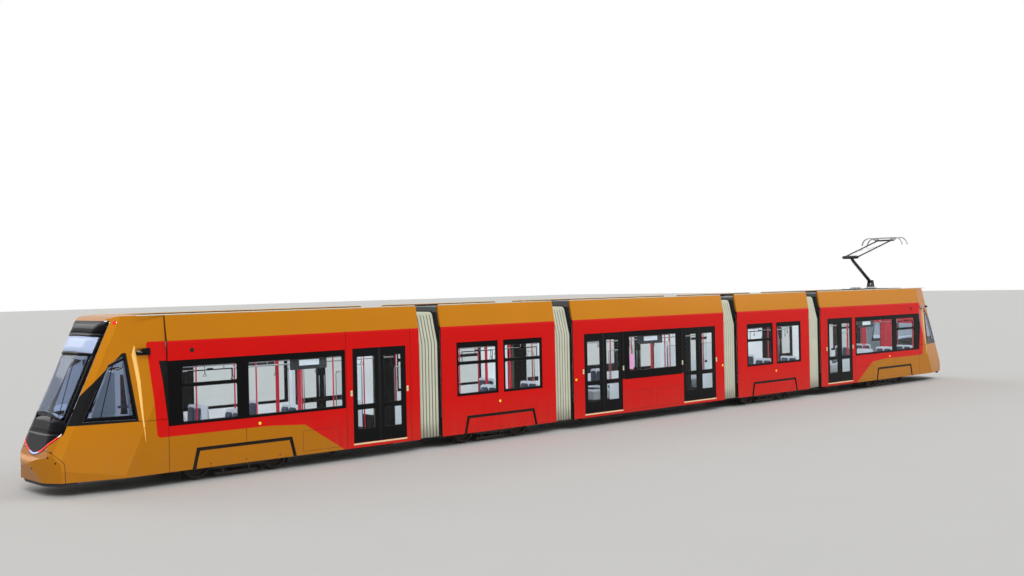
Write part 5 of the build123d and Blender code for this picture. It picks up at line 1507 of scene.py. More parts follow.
@dataclass
class Front:
    """The black front panel with windscreen and display, the cab's side windows and the trim round them."""

    half: float = 0.781
    low: Spot = (0.785, 1.18)
    bend: Spot = (0.46, 0.905)
    apex: float = 0.765
    glass_half: float = 0.71
    inside: float = 0.0015
    levels: tuple[Level, ...] = (
        Level(3.28, 0.0, "mask", 2), Level(3.03, 0.02, "mask"), Level(2.97, 0.02, "display", 3),
        Level(2.665, 0.035, "mask"), Level(2.62, 0.035, "glass", 12), Level(1.40, 0.10, "mask", 3),
        Level(1.18, 0.0, "chin"),
    )
    window: tuple[Spot, ...] = ((-16.01, 1.39), (-15.04, 1.38), (-15.19, 2.60), (-15.48, 2.45))
    fold: tuple[tuple[float, float, float], ...] = (
        (2.79, -14.995, -14.988), (2.63, -15.053, -14.969), (2.10, -14.99, -14.919),
        (1.735, -14.965, -14.913), (1.37, -14.94, -14.908), (0.94, -14.893, -14.884),
    )

    def columns(self) -> list[float]:
        """Shares of the half width where the columns of points stand."""
        g = self.glass_half / self.half
        inner = [g * k / 8 for k in range(-8, 9)]
        return [-0.9985, -(1 + g) / 2, *inner, (1 + g) / 2, 0.9985]

    def vee(self, y: float) -> float:
        """The height of the panel's lower edge at y, on the arc through its end, bend and apex."""
        (y0, z0), (y1, z1), (y2, z2) = self.low, self.bend, (0.0, self.apex)
        d = 2 * (y0 * (z1 - z2) + y1 * (z2 - z0) + y2 * (z0 - z1))
        a, b, c = y0**2 + z0**2, y1**2 + z1**2, y2**2 + z2**2
        cy = (a * (z1 - z2) + b * (z2 - z0) + c * (z0 - z1)) / d
        cz = (a * (y2 - y1) + b * (y0 - y2) + c * (y1 - y0)) / d
        radius = hypot(y0 - cy, z0 - cz)
        way = 1 if self.bend[1] > cz else -1
        return cz + way * sqrt(max(radius**2 - (abs(y) - cy) ** 2, 0))

    def band(self, skin: Skin, top: Level, bottom: Level, columns: Sequence[float]) -> list[list[Vector]]:
        """Rows of points on the front between two levels."""
        rows = []
        for k in range(top.steps + 1):
            t = k / top.steps
            edge, rise = top.edge + (bottom.edge - top.edge) * t, top.rise + (bottom.rise - top.rise) * t
            row = []
            for s in columns:
                y = s * self.half
                row.append(skin.front(y, edge + rise * (1 - s * s), self.inside))
            rows.append(row)
        return rows

    def panel(self, skin: Skin) -> dict[str, Shape]:
        """The panel's sheets by what they are made of."""
        made = {key: Shape() for key in ("mask", "glass", "display")}
        columns = self.columns()
        for top, bottom in zip(self.levels, self.levels[1:]):
            rows = self.band(skin, top, bottom, columns)
            if top.below == "mask":
                made["mask"].sheet(rows, 0.01)
            else:
                for part in (slice(0, 3), slice(-3, None)):
                    made["mask"].sheet([row[part] for row in rows], 0.01)
                made[top.below].sheet([row[2:-2] for row in rows], 0.008)
        rows, start = [], self.levels[-1].edge
        for k in range(9):
            t = k / 8
            row = []
            for s in columns:
                y = s * self.half
                low = self.vee(y) + 0.003
                row.append(
                    skin.front(y, start + (low - start) * t if low < start else start - 0.0001 * k, self.inside)
                )
            rows.append(row)
        made["mask"].sheet(rows, 0.01)
        return made

    def side_window(self, skin: Skin, frame_shape: Shape, glass: Shape) -> None:
        """The slanted side window: a black edge and the glass in it."""
        a, b, c, d = (Vector(p) for p in self.window)

        def at(u: float, v: float) -> Vector:
            """A point of the window by its share along and up."""
            low, high = a.lerp(b, u), d.lerp(c, u)
            spot = low.lerp(high, v)
            return skin.side(spot.x, spot.y, self.inside)

        us = [0.004, 0.06, *[0.06 + 0.88 * k / 8 for k in range(1, 8)], 0.94, 0.996]
        vs = [0.996, 0.94, *[0.94 - 0.87 * k / 6 for k in range(1, 6)], 0.07, 0.004]
        rows = [[at(u, v) for u in us] for v in vs]
        glass.sheet([row[1:-1] for row in rows[1:-1]], 0.008)
        frame_shape.sheet(rows[:2], 0.01)
        frame_shape.sheet(rows[-2:], 0.01)
        for part in (slice(0, 2), slice(-2, None)):
            frame_shape.sheet([row[part] for row in rows[1:-1]], 0.01)
        split = [at(0.32, v) for v in vs[1:-1]]
        frame_shape.sweep([p + Vector((0, 0.004, 0)) for p in split], 0.009, 6)

    def wiper(self, skin: Skin, trim: Shape) -> None:
        """The two wipers at rest, with their arms' covers at the foot of the windscreen."""
        for y0, y1, z0, z1 in ((-0.62, -0.10, 1.46, 1.54), (0.12, 0.62, 1.56, 1.50)):
            path = [skin.front(y0 + (y1 - y0) * t, z0 + (z1 - z0) * t, -0.006) for t in (0, 0.25, 0.5, 0.75, 1)]
            trim.sweep(path, 0.007, 6, 1)
            foot = skin.front((y0 + y1) / 2, 1.33, -0.004)
            trim.sweep([foot, path[2] + Vector((-0.006, 0, 0))], 0.009, 8, 1)
            trim.lathe(foot, (-0.9, 0, 0.4), [(-0.004, 0.03), (0.008, 0.03), (0.012, 0.02)], 16, 1)
        for y, z in ((-0.55, 1.25), (0.0, 1.24), (0.55, 1.25)):
            for k in range(3):
                ends = [skin.front(y + w, z + k * 0.028, 0.0) for w in (-0.13, 0, 0.13)]
                trim.sweep(ends, 0.004, 6, 2)

    def bumper_trim(self, skin: Skin, trim: Shape) -> None:
        """Parking sensors and the small lamps low on the corners."""
        for y, z in ((-0.70, 0.86), (-0.66, 0.765), (-0.80, 0.665), (-0.25, 0.55)):
            for side in SIDES:
                spot = skin.front(side * abs(y), z)
                out = Vector((-0.86, side * 0.5 * abs(y), 0)).normalized()
                trim.lathe(spot - out * 0.004, out, [(0, 0.02), (0.006, 0.02), (0.008, 0.012)], 14, 0)

    def lamps(self, skin: Skin, shape: Shape) -> None:
        """The lit V along the panel's lower edge, its bright ends and the round markers above."""
        rows: list[list[Vector]] = [[], [], []]
        for k in range(61):
            y = 0.762 * (k / 30 - 1)
            for row, rise in zip(rows, (0.05, 0.031, 0.012)):
                row.append(skin.front(y, self.vee(y) + rise, -0.003))
        shape.sheet(rows, 0.006)
        for side in SIDES:
            edge = [
                [skin.front(side * y, 1.315 - k * 0.02, -0.003) for y in (0.745, 0.758, 0.772)]
                for k in range(8)
            ]
            shape.sheet(edge, 0.006)
            spot = skin.front(side * 0.838, 3.245)
            shape.lathe(
                spot, (-0.86, side * 0.4, 0.3),
                [(-0.01, 0.042), (0.002, 0.042), (0.006, 0.034), (0.008, 0.01)], 20,
            )

    def apron(self, skin: Skin, shape: Shape) -> None:
        """The dark lip below the skirt of the front."""
        rows = []
        for z, back in ((0.40, 0.05), (0.30, 0.06), (0.235, 0.08), (0.22, 0.11)):
            row = []
            for k in range(25):
                y = 0.96 * (k / 12 - 1)
                spot = skin.front(y, 0.42)
                row.append(Vector((spot.x + back, y * (1 - back * 0.4), z)))
            rows.append(row)
        shape.sheet(rows, 0.012, 1)

    def crease(self, skin: Skin, shape: Shape) -> None:
        """The fold that runs down the side behind the cab window and dies out below it, pale with a painted
        highlight.
        """
        rows = []
        lip = Vector((0, -0.005, 0))
        for (z0, a0, b0), (z1, a1, b1) in zip(self.fold, self.fold[1:]):
            for k in range(5 if (z1, a1, b1) == self.fold[-1] else 4):
                t = k / 4
                z, ahead, back = z0 + (z1 - z0) * t, a0 + (a1 - a0) * t, b0 + (b1 - b0) * t
                proud = 0.16 * (back - ahead)
                start, end = skin.side(ahead, z, 0.003), skin.side(back, z, 0.003)
                middle = skin.side(ahead + (back - ahead) * 0.35, z, -proud)
                rows.append([start, start + lip, middle, end + lip, end])
        shape.sheet(rows, 0.002)

    def build(self) -> None:
        """Make the front of both ends."""
        skin = Skin("car_a_nose", "car_a_screen", "car_a_lamps")
        made = self.panel(skin)
        side_frame, side_glass = Shape(), Shape()
        self.side_window(skin, side_frame, side_glass)
        made["mask"].join(side_frame.both_sides())
        made["glass"].join(side_glass.both_sides())
        trim, fold, lamps = Shape(), Shape(), Shape()
        self.lamps(skin, lamps)
        self.apron(skin, trim)
        for side in SIDES:
            trim.lathe(
                (-14.8, side * 1.227, 2.7), (0, side, 0), [(0, 0.016), (0.005, 0.016), (0.007, 0.01)], 14, 2
            )
        self.wiper(skin, trim)
        self.bumper_trim(skin, trim)
        self.crease(skin, fold)
        place_cars(made["mask"], "front_panel", "ae", [Finish.MASK_BLACK], "dark_screen", "screen")
        place_cars(made["glass"], "windscreen", "ae", [Finish.SCREEN_GLASS], "dark_screen")
        place_cars(made["display"], "display", "ae", [Finish.DISPLAY], "lamp_lens")
        place_cars(lamps, "lamp_strips", "ae", [LampBand()], "lamp_lens", "lamps")
        place_cars(trim, "front_trim", "ae", [Finish.RUBBER, Finish.CONSOLE, Finish.STEEL], "dark_screen")
        # The fold's pale gold with its glow is a painted highlight.
        place_cars(fold.both_sides(), "side_fold", "ae", [Finish.FOLD_HIGHLIGHT], "cab_paint")


# Gangways


@dataclass
class Gangway:
    """A pleated bellows between two cars, held by hoops."""

    name: str
    pivot: float
    half_gap: float = 0.3247
    half: float = 1.11
    low: float = 0.30
    shoulder: float = 2.48
    top: Spot = (0.925, 3.215)
    depth: float = 0.055
    pleats: int = 7

    @property
    def bodies(self) -> tuple[str, str]:
        """The two cars that it joins."""
        return f"car_{self.name[0]}", f"car_{self.name[1]}"

    def section(self, inset: float) -> list[Spot]:
        """The arch as (y, z), drawn in by inset, open below."""
        corner = 0.09
        points: list[Spot] = [(-self.half + inset, self.low)]
        points += [(-self.half + inset, self.low + (self.shoulder - self.low) * k / 6) for k in range(1, 7)]
        start = Vector((-self.half + inset, self.shoulder))
        end = Vector((-self.top[0] + inset * 0.8, self.top[1] - inset))
        points += [tuple(start.lerp(end, k / 3)) for k in (1, 2)]
        for k in range(5):
            t = k / 4
            a, c, b = end + (start - end).normalized() * corner, end, end + Vector((corner, 0))
            points.append(tuple(a * (1 - t) ** 2 + c * 2 * t * (1 - t) + b * t * t))
        points += [(end.x * (1 - k / 3), self.top[1] - inset) for k in (1, 2)]
        return points + [(0.0, self.top[1] - inset)] + [(-y, z) for y, z in reversed(points)]

    def build(self) -> None:
        """Make the bellows in place of the model's bellows node, and the hoops that hold it."""
        rows = []
        steps = 6
        count = self.pleats * steps
        for k in range(count + 1):
            x = self.pivot - self.half_gap + 2 * self.half_gap * k / count
            wave = 0.5 - 0.5 * cos(2 * pi * (k % steps) / steps)
            inset = self.depth * (1 - wave ** 0.8)
            rows.append([Vector((x, y, z)) for y, z in self.section(inset)])
        skin = Shape()
        skin.sheet(rows, 0.003)
        pitch = 2 * self.half_gap / self.pleats
        # Painted shade: the faces in the valley of each pleat take the darker grey finish.
        for number, face in enumerate(skin.faces):
            x = sum(skin.points[i].x for i in face) / len(face)
            phase = ((x - self.pivot + self.half_gap) / pitch) % 1.0
            skin.finishes[number] = 1 if phase < 0.17 or phase > 0.83 else 0
        centre = sum(skin.points, Vector()) / len(skin.points)
        piece = skin.mesh(f"bellows_{self.name}_fabric")
        dress(piece, [Finish.BELLOWS, Finish.BELLOWS_VALLEY_SHADE])
        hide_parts(f"bellows_{self.name}")
        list(self.bodies)
        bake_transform(piece)
        log.info("%s: %d faces between %s and %s", piece.name, len(piece.data.polygons), *self.bodies)
        self.hoops()

    def hoops(self) -> None:
        """The dark frames that hold the bellows on the cars' ends."""
        for body, way in zip(self.bodies, (-1, 1)):
            hoop = Shape()
            x = self.pivot + way * (self.half_gap - 0.004)
            outer = self.section(-0.02)
            inner = self.section(0.03)
            path = [(y, max(z, 0.31)) for y, z in outer] + [(y, max(z, 0.31)) for y, z in reversed(inner)]
            hoop.prism(path, (x, x - way * 0.018), "x")
            for side in SIDES:
                shut = tuple(sorted((side * 1.0, side * 1.158)))
                hoop.box((x + way * 0.002, x - way * 0.012), shut, (2.68, 2.9), 0.002)
            place(hoop, f"bellows_{self.name}_hoop_{body[-1]}", body, [Finish.RUBBER], "bellows")


# Outside trim


@dataclass
class SideTrim:
    """Small fittings on the cars' sides: marker lamps, a camera dome, roof rails, flap seams and fasteners."""

    rail_y: float = 1.098
    rail_z: float = 3.374

    def rail(self, shape: Shape, x: Span) -> None:
        """The pale rail along the top of the cove, with its brackets."""
        shape.rod(
            (x[0] + 0.02, -self.rail_y, self.rail_z), (x[1] - 0.02, -self.rail_y, self.rail_z), 0.013, 8, 0
        )
        count = int((x[1] - x[0]) / 0.8)
        for k in range(count):
            at = x[0] + (x[1] - x[0]) * (k + 0.5) / count
            shape.box(about(at, 0.02), (-1.09, -1.06), (3.36, 3.378), 0.003, 0)

    def marker(self, shape: Shape, x: float, z: float) -> None:
        """A small amber lamp on its black base."""
        shape.lathe((x, -SKIN + 0.002, z), (0, -1, 0), [(0, 0.044), (0.005, 0.044), (0.007, 0.037)], 20, 1)
        shape.lathe((x, -SKIN, z), (0, -1, 0), [(0, 0.034), (0.009, 0.032), (0.014, 0.018)], 20, 2)

    def dome(self, shape: Shape, x: float, z: float) -> None:
        """A small black camera dome above the windows."""
        shape.lathe((x, -SKIN + 0.002, z), (0, -1, 0), [(0, 0.045), (0.006, 0.045), (0.01, 0.038)], 20, 1)
        shape.lathe((x, -SKIN, z), (0, -1, 0), [(0.004, 0.03), (0.014, 0.024), (0.02, 0.012)], 16, 1)

    def hatch(self, shape: Shape, x: Span, z: Span) -> None:
        """A thin seam round a service flap in the skirt."""
        shape.plate(
            opening(x, z, 0, 0.02), [opening(x, z, 0.006, 0.016)], (-SKIN - 0.0008, -SKIN + 0.001), 0.0003, 1
        )

    def cover_bolts(self, shape: Shape, centre: float) -> None:
        """Quarter-turn fasteners along the bogie cover's lower edge."""
        for k in (-1, 0, 1):
            shape.lathe(
                (centre + k * 0.8, -SKIN, 0.36), (0, -1, 0), [(0, 0.014), (0.003, 0.014), (0.004, 0.008)], 12, 1
            )

    def build(self) -> None:
        """Make the trim of all cars."""
        finishes = (Finish.ROOF_RAIL, Finish.RUBBER, Finish.MARKER, Finish.STEEL)
        a, b, c = Shape(), Shape(), Shape()
        self.rail(a, (-15.0, -8.19))
        self.rail(b, (-7.54, -3.80))
        self.rail(c, (-3.15, 3.15))
        self.marker(a, -12.39, 1.06)
        self.marker(b, -5.72, 0.98)
        self.marker(c, 3.06, 1.31)
        self.marker(c, -3.06, 1.31)
        self.dome(a, -13.88, 2.66)
        self.hatch(a, (-11.35, -10.4), (0.36, 0.8))
        self.hatch(c, (-1.1, -0.1), (0.36, 0.85))
        self.hatch(c, (0.1, 1.1), (0.36, 0.85))
        self.cover_bolts(a, -12.72)
        self.cover_bolts(b, -5.67)
        place_cars(a.both_sides(), "side_trim", "ae", finishes, "side_paint")
        place_cars(b.both_sides(), "side_trim", "bd", finishes, "side_paint")
        place_cars(c.both_sides(), "side_trim", "c", finishes, "side_paint")


@dataclass
class Case:
    """A case of roof equipment: its two ends, half its width and its height."""

    x: Span
    half: float
    height: float
    fans: int = 0


@dataclass
class RoofKit:
    """Lids, bolts, fan guards, conduits and hoses on the roof equipment."""

    car: str
    x: Span
    cases: list[Case]
    deck: float = 2.9
    finishes: tuple = (Finish.ROOF_GREY, Finish.ROOF_DARK, Finish.STEEL, Finish.RUBBER)

    def lid(self, shape: Shape, case: Case) -> None:
        """The seams, handles and bolts of one case's lid, and the guards over its fans."""
        top = self.deck + case.height
        x0, x1 = case.x
        for side in SIDES:
            y = side * (case.half - 0.09)
            shape.box((x0 + 0.05, x1 - 0.05), about(y, 0.006), (top - 0.001, top + 0.004), 0.001, 1)
            for k in range(int((x1 - x0) / 0.35)):
                x = x0 + 0.15 + k * 0.35
                shape.bolt((x, side * (case.half - 0.06), top), (0, 0, 1), 0.009, 2)
        parts = max(2, int((x1 - x0) / 0.7))
        for k in range(1, parts):
            x = x0 + (x1 - x0) * k / parts
            if not case.fans:
                shape.box(
                    about(x, 0.005), (0.09 - case.half, case.half - 0.09), (top - 0.001, top + 0.003), 0.001, 1
                )
                shape.sweep(
                    [
                        (x + 0.1, -0.1, top), (x + 0.1, -0.1, top + 0.035), (x + 0.1, 0.1, top + 0.035),
                        (x + 0.1, 0.1, top),
                    ],
                    0.006, 6, 2,
                )
        for fan in range(case.fans):
            x = x0 + (x1 - x0) / case.fans * (fan + 0.5)
            for radius in (0.06, 0.13, 0.2, 0.265):
                turns = [pi * k / 12 for k in range(25)]
                ring = [(x + radius * cos(a), radius * sin(a), top + 0.012) for a in turns]
                shape.sweep(ring, 0.004, 5, 2)
            for k in range(6):
                a = pi * k / 6
                dx, dy = 0.27 * cos(a), 0.27 * sin(a)
                shape.sweep([(x - dx, -dy, top + 0.008), (x + dx, dy, top + 0.008)], 0.004, 5, 2)

    def lines(self, shape: Shape) -> None:
        """Conduits and hoses along the deck between the cases, on their saddles."""
        for y, radius, finish in ((0.97, 0.022, 1), (1.01, 0.014, 3), (-0.97, 0.022, 1), (-1.015, 0.012, 2)):
            shape.rod(
                (self.x[0] + 0.12, y, self.deck + 0.04), (self.x[1] - 0.12, y, self.deck + 0.04), radius, 8,
                finish,
            )
        count = int((self.x[1] - self.x[0]) / 0.7)
        for k in range(count):
            x = self.x[0] + (self.x[1] - self.x[0]) * (k + 0.5) / count
            for side in SIDES:
                shape.box(about(x, 0.02), (side * 0.93, side * 1.04), (self.deck, self.deck + 0.03), 0.004, 0)
        for before, after in zip(self.cases, self.cases[1:]):
            x0, x1 = before.x[1], after.x[0]
            for y in (-0.3, 0.05, 0.4):
                z = self.deck + 0.16
                shape.sweep(
                    [
                        (x0 - 0.01, y, z), (x0 + 0.08, y, z), ((x0 + x1) / 2, y + 0.03, z - 0.06),
                        (x1 - 0.08, y, z), (x1 + 0.01, y, z),
                    ],
                    0.02, 8, 3,
                )

    def build(self) -> None:
        shape = Shape()
        for case in self.cases:
            self.lid(shape, case)
        self.lines(shape)
        place_cars(shape, "roof_fittings", self.car, self.finishes, "roof_grey")


# Running gear and pantograph


@dataclass
class BogieKit:
    """Axle box covers, dampers, sand pipes, cables and bolts on a bogie."""

    letter: str
    x: float
    axle_z: float = 0.322
    half_base: float = 0.9
    beam_y: float = 0.93
    finishes: tuple = (Finish.BOGIE, Finish.DAMPER, Finish.STEEL, Finish.RUBBER)

    def axle_box(self, shape: Shape, x: float, side: int) -> None:
        """The cover outside an axle's end, with its bolts and earthing cable."""
        y = side * self.beam_y
        shape.lathe(
            (x, y, self.axle_z), (0, side, 0), [(0.0, 0.078), (0.03, 0.078), (0.045, 0.066), (0.05, 0.03)], 24,
            0,
        )
        for k in range(6):
            a = pi * k / 3
            spot = (x + 0.06 * cos(a), y + side * 0.036, self.axle_z + 0.06 * sin(a))
            shape.bolt(spot, (0, side, 0), 0.007, 2)
        path = [
            (x, y + side * 0.045, self.axle_z + 0.02), (x + 0.05, y + side * 0.06, 0.42),
            (x + 0.16, y + side * 0.03, 0.45), (x + 0.2, y - side * 0.01, 0.43),
        ]
        shape.sweep(path, 0.009, 6, 3)

    def build(self) -> None:
        shape = Shape()
        for side in SIDES:
            for end in SIDES:
                x = self.x + end * self.half_base
                self.axle_box(shape, x, side)
                y = side * (self.beam_y + 0.03)
                shape.rod((self.x + end * 0.12, y, 0.30), (self.x + end * 0.52, y, 0.42), 0.022, 12, 1)
                shape.rod((self.x + end * 0.30, y, 0.354), (self.x + end * 0.56, y, 0.432), 0.03, 12, 1)
                for d, z in ((0.12, 0.30), (0.56, 0.432)):
                    shape.rod(
                        (self.x + end * d, side * self.beam_y, z), (self.x + end * d, y + side * 0.02, z),
                        0.016, 10, 2,
                    )
                pipe = [
                    (x + end * 0.30, side * 0.75, 0.40), (x + end * 0.33, side * 0.75, 0.2),
                    (x + end * 0.31, side * 0.75, 0.09),
                ]
                shape.sweep(pipe, 0.014, 8, 3)
                shape.box((x + end * 0.06, x + end * 0.36), (side * 0.72, side * 0.86), (0.395, 0.42), 0.005, 0)
        place(shape, f"bogie_{self.letter}_fittings", f"bogie_{self.letter}", self.finishes, "bogie_steel")


@dataclass
class PantographKit:
    """Insulator sheds, springs, cables and carbon strips of the pantograph."""

    pivot: Spot = (13.25, 3.64)
    knee: Spot = (11.97, 4.51)
    head: Spot = (14.25, 5.12)
    frame_x: Span = (12.25, 14.35)
    frame_half: float = 0.56

    def at(self, spot: Spot, y: float) -> Vector:
        """A place of the pantograph's side view at y."""
        return Vector((spot[0], y, spot[1]))

    def base(self) -> None:
        """The insulators' sheds, the raising springs and the roof cable."""
        shape = Shape()
        for x in (self.frame_x[0] + 0.06, self.frame_x[1] - 0.06):
            for y in (-0.5, 0.5):
                profile = [(0, 0.07), (0.03, 0.07), (0.04, 0.05)]
                for k in range(6):
                    z = 0.06 + k * 0.055
                    profile += [(z, 0.048), (z + 0.012, 0.082), (z + 0.022, 0.084), (z + 0.034, 0.048)]
                profile += [(0.40, 0.05), (0.415, 0.065), (0.429, 0.065)]
                shape.lathe((x, y, 2.901), (0, 0, 1), profile, 20, 0)
        for side in SIDES:
            y = side * 0.3
            shape.rod((13.12, y, 3.42), (12.36, y, 3.42), 0.012, 10, 1)
            turns = 14
            coil = []
            for k in range(turns * 8):
                a = pi * k / 4
                coil.append((13.0 - 0.5 * k / (turns * 8), y + 0.035 * cos(a), 3.42 + 0.035 * sin(a)))
            shape.sweep(coil, 0.006, 5, 1)
            for x in (self.frame_x[0] + 0.04, self.frame_x[1] - 0.04):
                for dy in (0.1, 0.2):
                    shape.bolt((x, side * (self.frame_half - dy), 3.39), (0, 0, 1), 0.01, 1)
        path = [
            (13.25, 0.1, 3.62), (13.5, 0.2, 3.5), (13.62, 0.42, 3.3), (13.66, 0.7, 3.02), (13.66, 0.9, 2.95)
        ]
        shape.sweep(path, 0.016, 8, 2)
        place(
            shape, "pantograph_base_fittings", "car_e", [Finish.INSULATOR, Finish.STEEL, Finish.COPPER],
            "pantograph_metal",
        )

    def arms(self) -> None:
        """Collars and braids on the two arms."""
        lower, upper = Shape(), Shape()
        a, b = self.at(self.pivot, 0), self.at(self.knee, 0)
        along = (b - a).normalized()
        for share in (0.12, 0.5, 0.88):
            foot = a.lerp(b, share)
            lower.lathe(foot, along, [(0, 0.047), (0.005, 0.052), (0.035, 0.052), (0.04, 0.047)], 20, 0)
        off = Vector((along.z, 0, -along.x)) * 0.075
        if off.z > 0:
            off.negate()
        lower.rod(a.lerp(b, 0.08) + off, a.lerp(b, 0.92) + off, 0.012, 8, 1)
        for side in SIDES:
            c, d = self.at(self.knee, side * 0.27), self.at(self.head, side * 0.27)
            for share in (0.06, 0.35, 0.65, 0.94):
                upper.lathe(
                    c.lerp(d, share), d - c, [(0, 0.025), (0.004, 0.03), (0.026, 0.03), (0.03, 0.025)], 16, 0
                )
        for s0, s1 in ((0.35, 0.65), (0.65, 0.35)):
            c, d = self.at(self.knee, -0.26), self.at(self.head, -0.26)
            start, end = c.lerp(d, s0), c.lerp(d, s1)
            end.y = 0.26
            upper.rod(start, end, 0.008, 8, 1)
        place(lower, "pantograph_lower_fittings", "panto_lower", [Finish.ARM, Finish.STEEL], "pantograph_metal")
        place(upper, "pantograph_upper_fittings", "panto_upper", [Finish.ARM, Finish.STEEL], "pantograph_metal")

    def strips(self) -> None:
        """The carbon on the contact strips, with the ends of their holders."""
        shape = Shape()
        for along in (-0.18, 0.18):
            x = self.head[0] + along
            shape.box(about(x, 0.02), (-0.54, 0.54), (5.2195, 5.2215), 0.001, 0)
            for y in (-0.5, -0.25, 0.0, 0.25, 0.5):
                for side in SIDES:
                    shape.bolt((x + side * 0.03, y, 5.205), (side, 0, 0), 0.006, 1)
        for side in SIDES:
            spring = []
            for k in range(24):
                a = pi * k / 4
                spring.append(
                    (self.head[0] + 0.05 * cos(a), side * 0.35 + 0.02 * sin(a), self.head[1] + 0.0025 * k)
                )
            shape.sweep(spring, 0.004, 5, 1)
        place(
            shape, "pantograph_head_fittings", "panto_head", [Finish.CARBON, Finish.STEEL], "pantograph_metal"
        )

    def build(self) -> None:
        """Make the whole kit."""
        self.base()
        self.arms()
        self.strips()


# Carried-over nodes and studio


def dress_nodes() -> None:
    """Give every carried-over node of the model its finish."""
    rules: list[tuple[str, object]] = [
        ("_walls", Livery(Area.WALLS)), ("_roof_gear", Finish.ROOF_GREY), ("_roof", Livery(Area.ROOF)),
        ("_nose", Livery(Area.NOSE)), ("_lamps", LampBand()), ("_floor", FloorCover()), ("wheelset", Tread()),
        ("bogie", Finish.BOGIE), ("pantograph_head", Finish.ALUMINIUM), ("pantograph", Finish.ARM),
        ("bellows", Finish.BELLOWS), ("_screen", Finish.MASK_BLACK), ("_windows", Finish.FRAME_BLACK),
        ("_doors", Finish.DOOR_BLACK), ("_interior", Finish.PANEL),
    ]
    for name, node in frame["nodes"].items():
        finish = next(found for key, found in rules if key in name)
        dress(node, [finish])
        log.info("%s: finished as carried over", name)


STUDIO_FLOOR = Surface(
    "Studio floor", (0.62, 0.62, 0.61), 0.85, tone=0.03, tone_scale=0.4, grain_scale=30, relief=0.05
)


@dataclass
class Studio:
    """The pale floor, the soft light and the camera."""

    eye: tuple[float, float, float] = (-25.232, -23.074, 3.848)
    right: tuple[float, float, float] = (0.73805, -0.67442, -0.02083)
    down: tuple[float, float, float] = (-0.01807, 0.01112, -0.99978)
    ahead: tuple[float, float, float] = (0.67450, 0.73826, -0.00398)
    lens: float = 42.1875

    def floor(self) -> None:
        """A wide pale floor that keeps the tram's shadow."""
        mesh = bpy.data.meshes.new("floor")
        steps, reach = 8, 240.0
        row = steps + 1
        lines = [-reach + 2 * reach * i / steps for i in range(row)]
        spots = [(x, y, 0.0) for y in lines for x in lines]
        corners = [j * row + i for j in range(steps) for i in range(steps)]
        faces = [(a, a + 1, a + 1 + row, a + row) for a in corners]
        mesh.from_pydata(spots, [], faces)
        piece = bpy.data.objects.new("floor", mesh)
        bpy.context.scene.collection.objects.link(piece)
        dress(piece, [STUDIO_FLOOR])

    def world(self) -> None:
        """Soft light from all round, and a white background for the eye."""
        world = bpy.data.worlds.new("Studio")
        bpy.context.scene.world = world
        world.use_nodes = True
        world.node_tree.nodes.clear()
        g = Graph(world.node_tree)
        path = g.add("LightPath")
        seen = g.either(*(path.outputs[f"Is {kind} Ray"] for kind in ("Glossy", "Transmission", "Camera")))
        lit = g.add("Background", {"Color": (1.0, 0.99, 0.97, 1.0), "Strength": 0.42})
        white = g.add("Background", {"Color": (1.0, 1.0, 1.0, 1.0), "Strength": 1.0})
        both = g.add("MixShader", {0: seen, 1: lit.outputs[0], 2: white.outputs[0]})
        output = g.add("OutputWorld")
        world.node_tree.links.new(both.outputs[0], output.inputs[0])

    def lamps(self) -> None:
        """A broad key light from beside the camera, and weaker ones from the side and from behind."""
        for name, way, strength, angle in (
            ("key", (0.35, 0.72, -0.6), 1.75, 24),
            ("side", (-0.75, 0.45, -0.5), 0.5, 40),
            ("back", (0.2, -0.8, -0.55), 0.5, 40),
        ):
            lamp = bpy.data.lights.new(name, "SUN")
            lamp.energy, lamp.angle = strength, radians(angle)
            holder = bpy.data.objects.new(name, lamp)
            holder.rotation_mode = "QUATERNION"
            holder.rotation_quaternion = Vector(way).to_track_quat("-Z", "Y")
            bpy.context.scene.collection.objects.link(holder)

    def camera(self) -> None:
        """The camera where the photograph was taken from."""
        data = bpy.data.cameras.new("camera")
        data.sensor_width, data.lens = 36.0, self.lens
        data.clip_start, data.clip_end = 0.5, 600.0
        holder = bpy.data.objects.new("camera", data)
        right, up, back = Vector(self.right), -Vector(self.down), -Vector(self.ahead)
        turn = Matrix((right, up, back)).transposed().to_4x4()
        holder.matrix_world = Matrix.Translation(self.eye) @ turn
        bpy.context.scene.collection.objects.link(holder)
        bpy.context.scene.camera = holder

    def build(self) -> None:
        """Set the stage."""
        self.floor()
        self.world()
        self.lamps()
        self.camera()
        bpy.context.scene.view_settings.view_transform = "Standard"


def window_bands() -> dict[str, list[Window]]:
    """The window bands on the -Y side, by car."""
    return {
        "a": [Window((-14.4, -10.24), [(-14.1, -12.88), (-12.63, -10.31)], [True, False])],
        "b": [
            Window((-7.07, -5.76), [(-7.015, -5.815)], [True]), Window(
                (-5.58, -4.27), [(-5.525, -4.325)], [True]
            ),
        ],
        "c": [Window((-1.19, 1.19), [(-0.99, 0.99)], [False], 1.41)],
        "d": [Window((4.27, 5.58), [(4.325, 5.525)], [True]), Window((5.76, 7.07), [(5.815, 7.015)], [False])],
        "e": [Window((10.24, 14.4), [(10.31, 12.63), (12.88, 14.1)], [False, True])],
    }


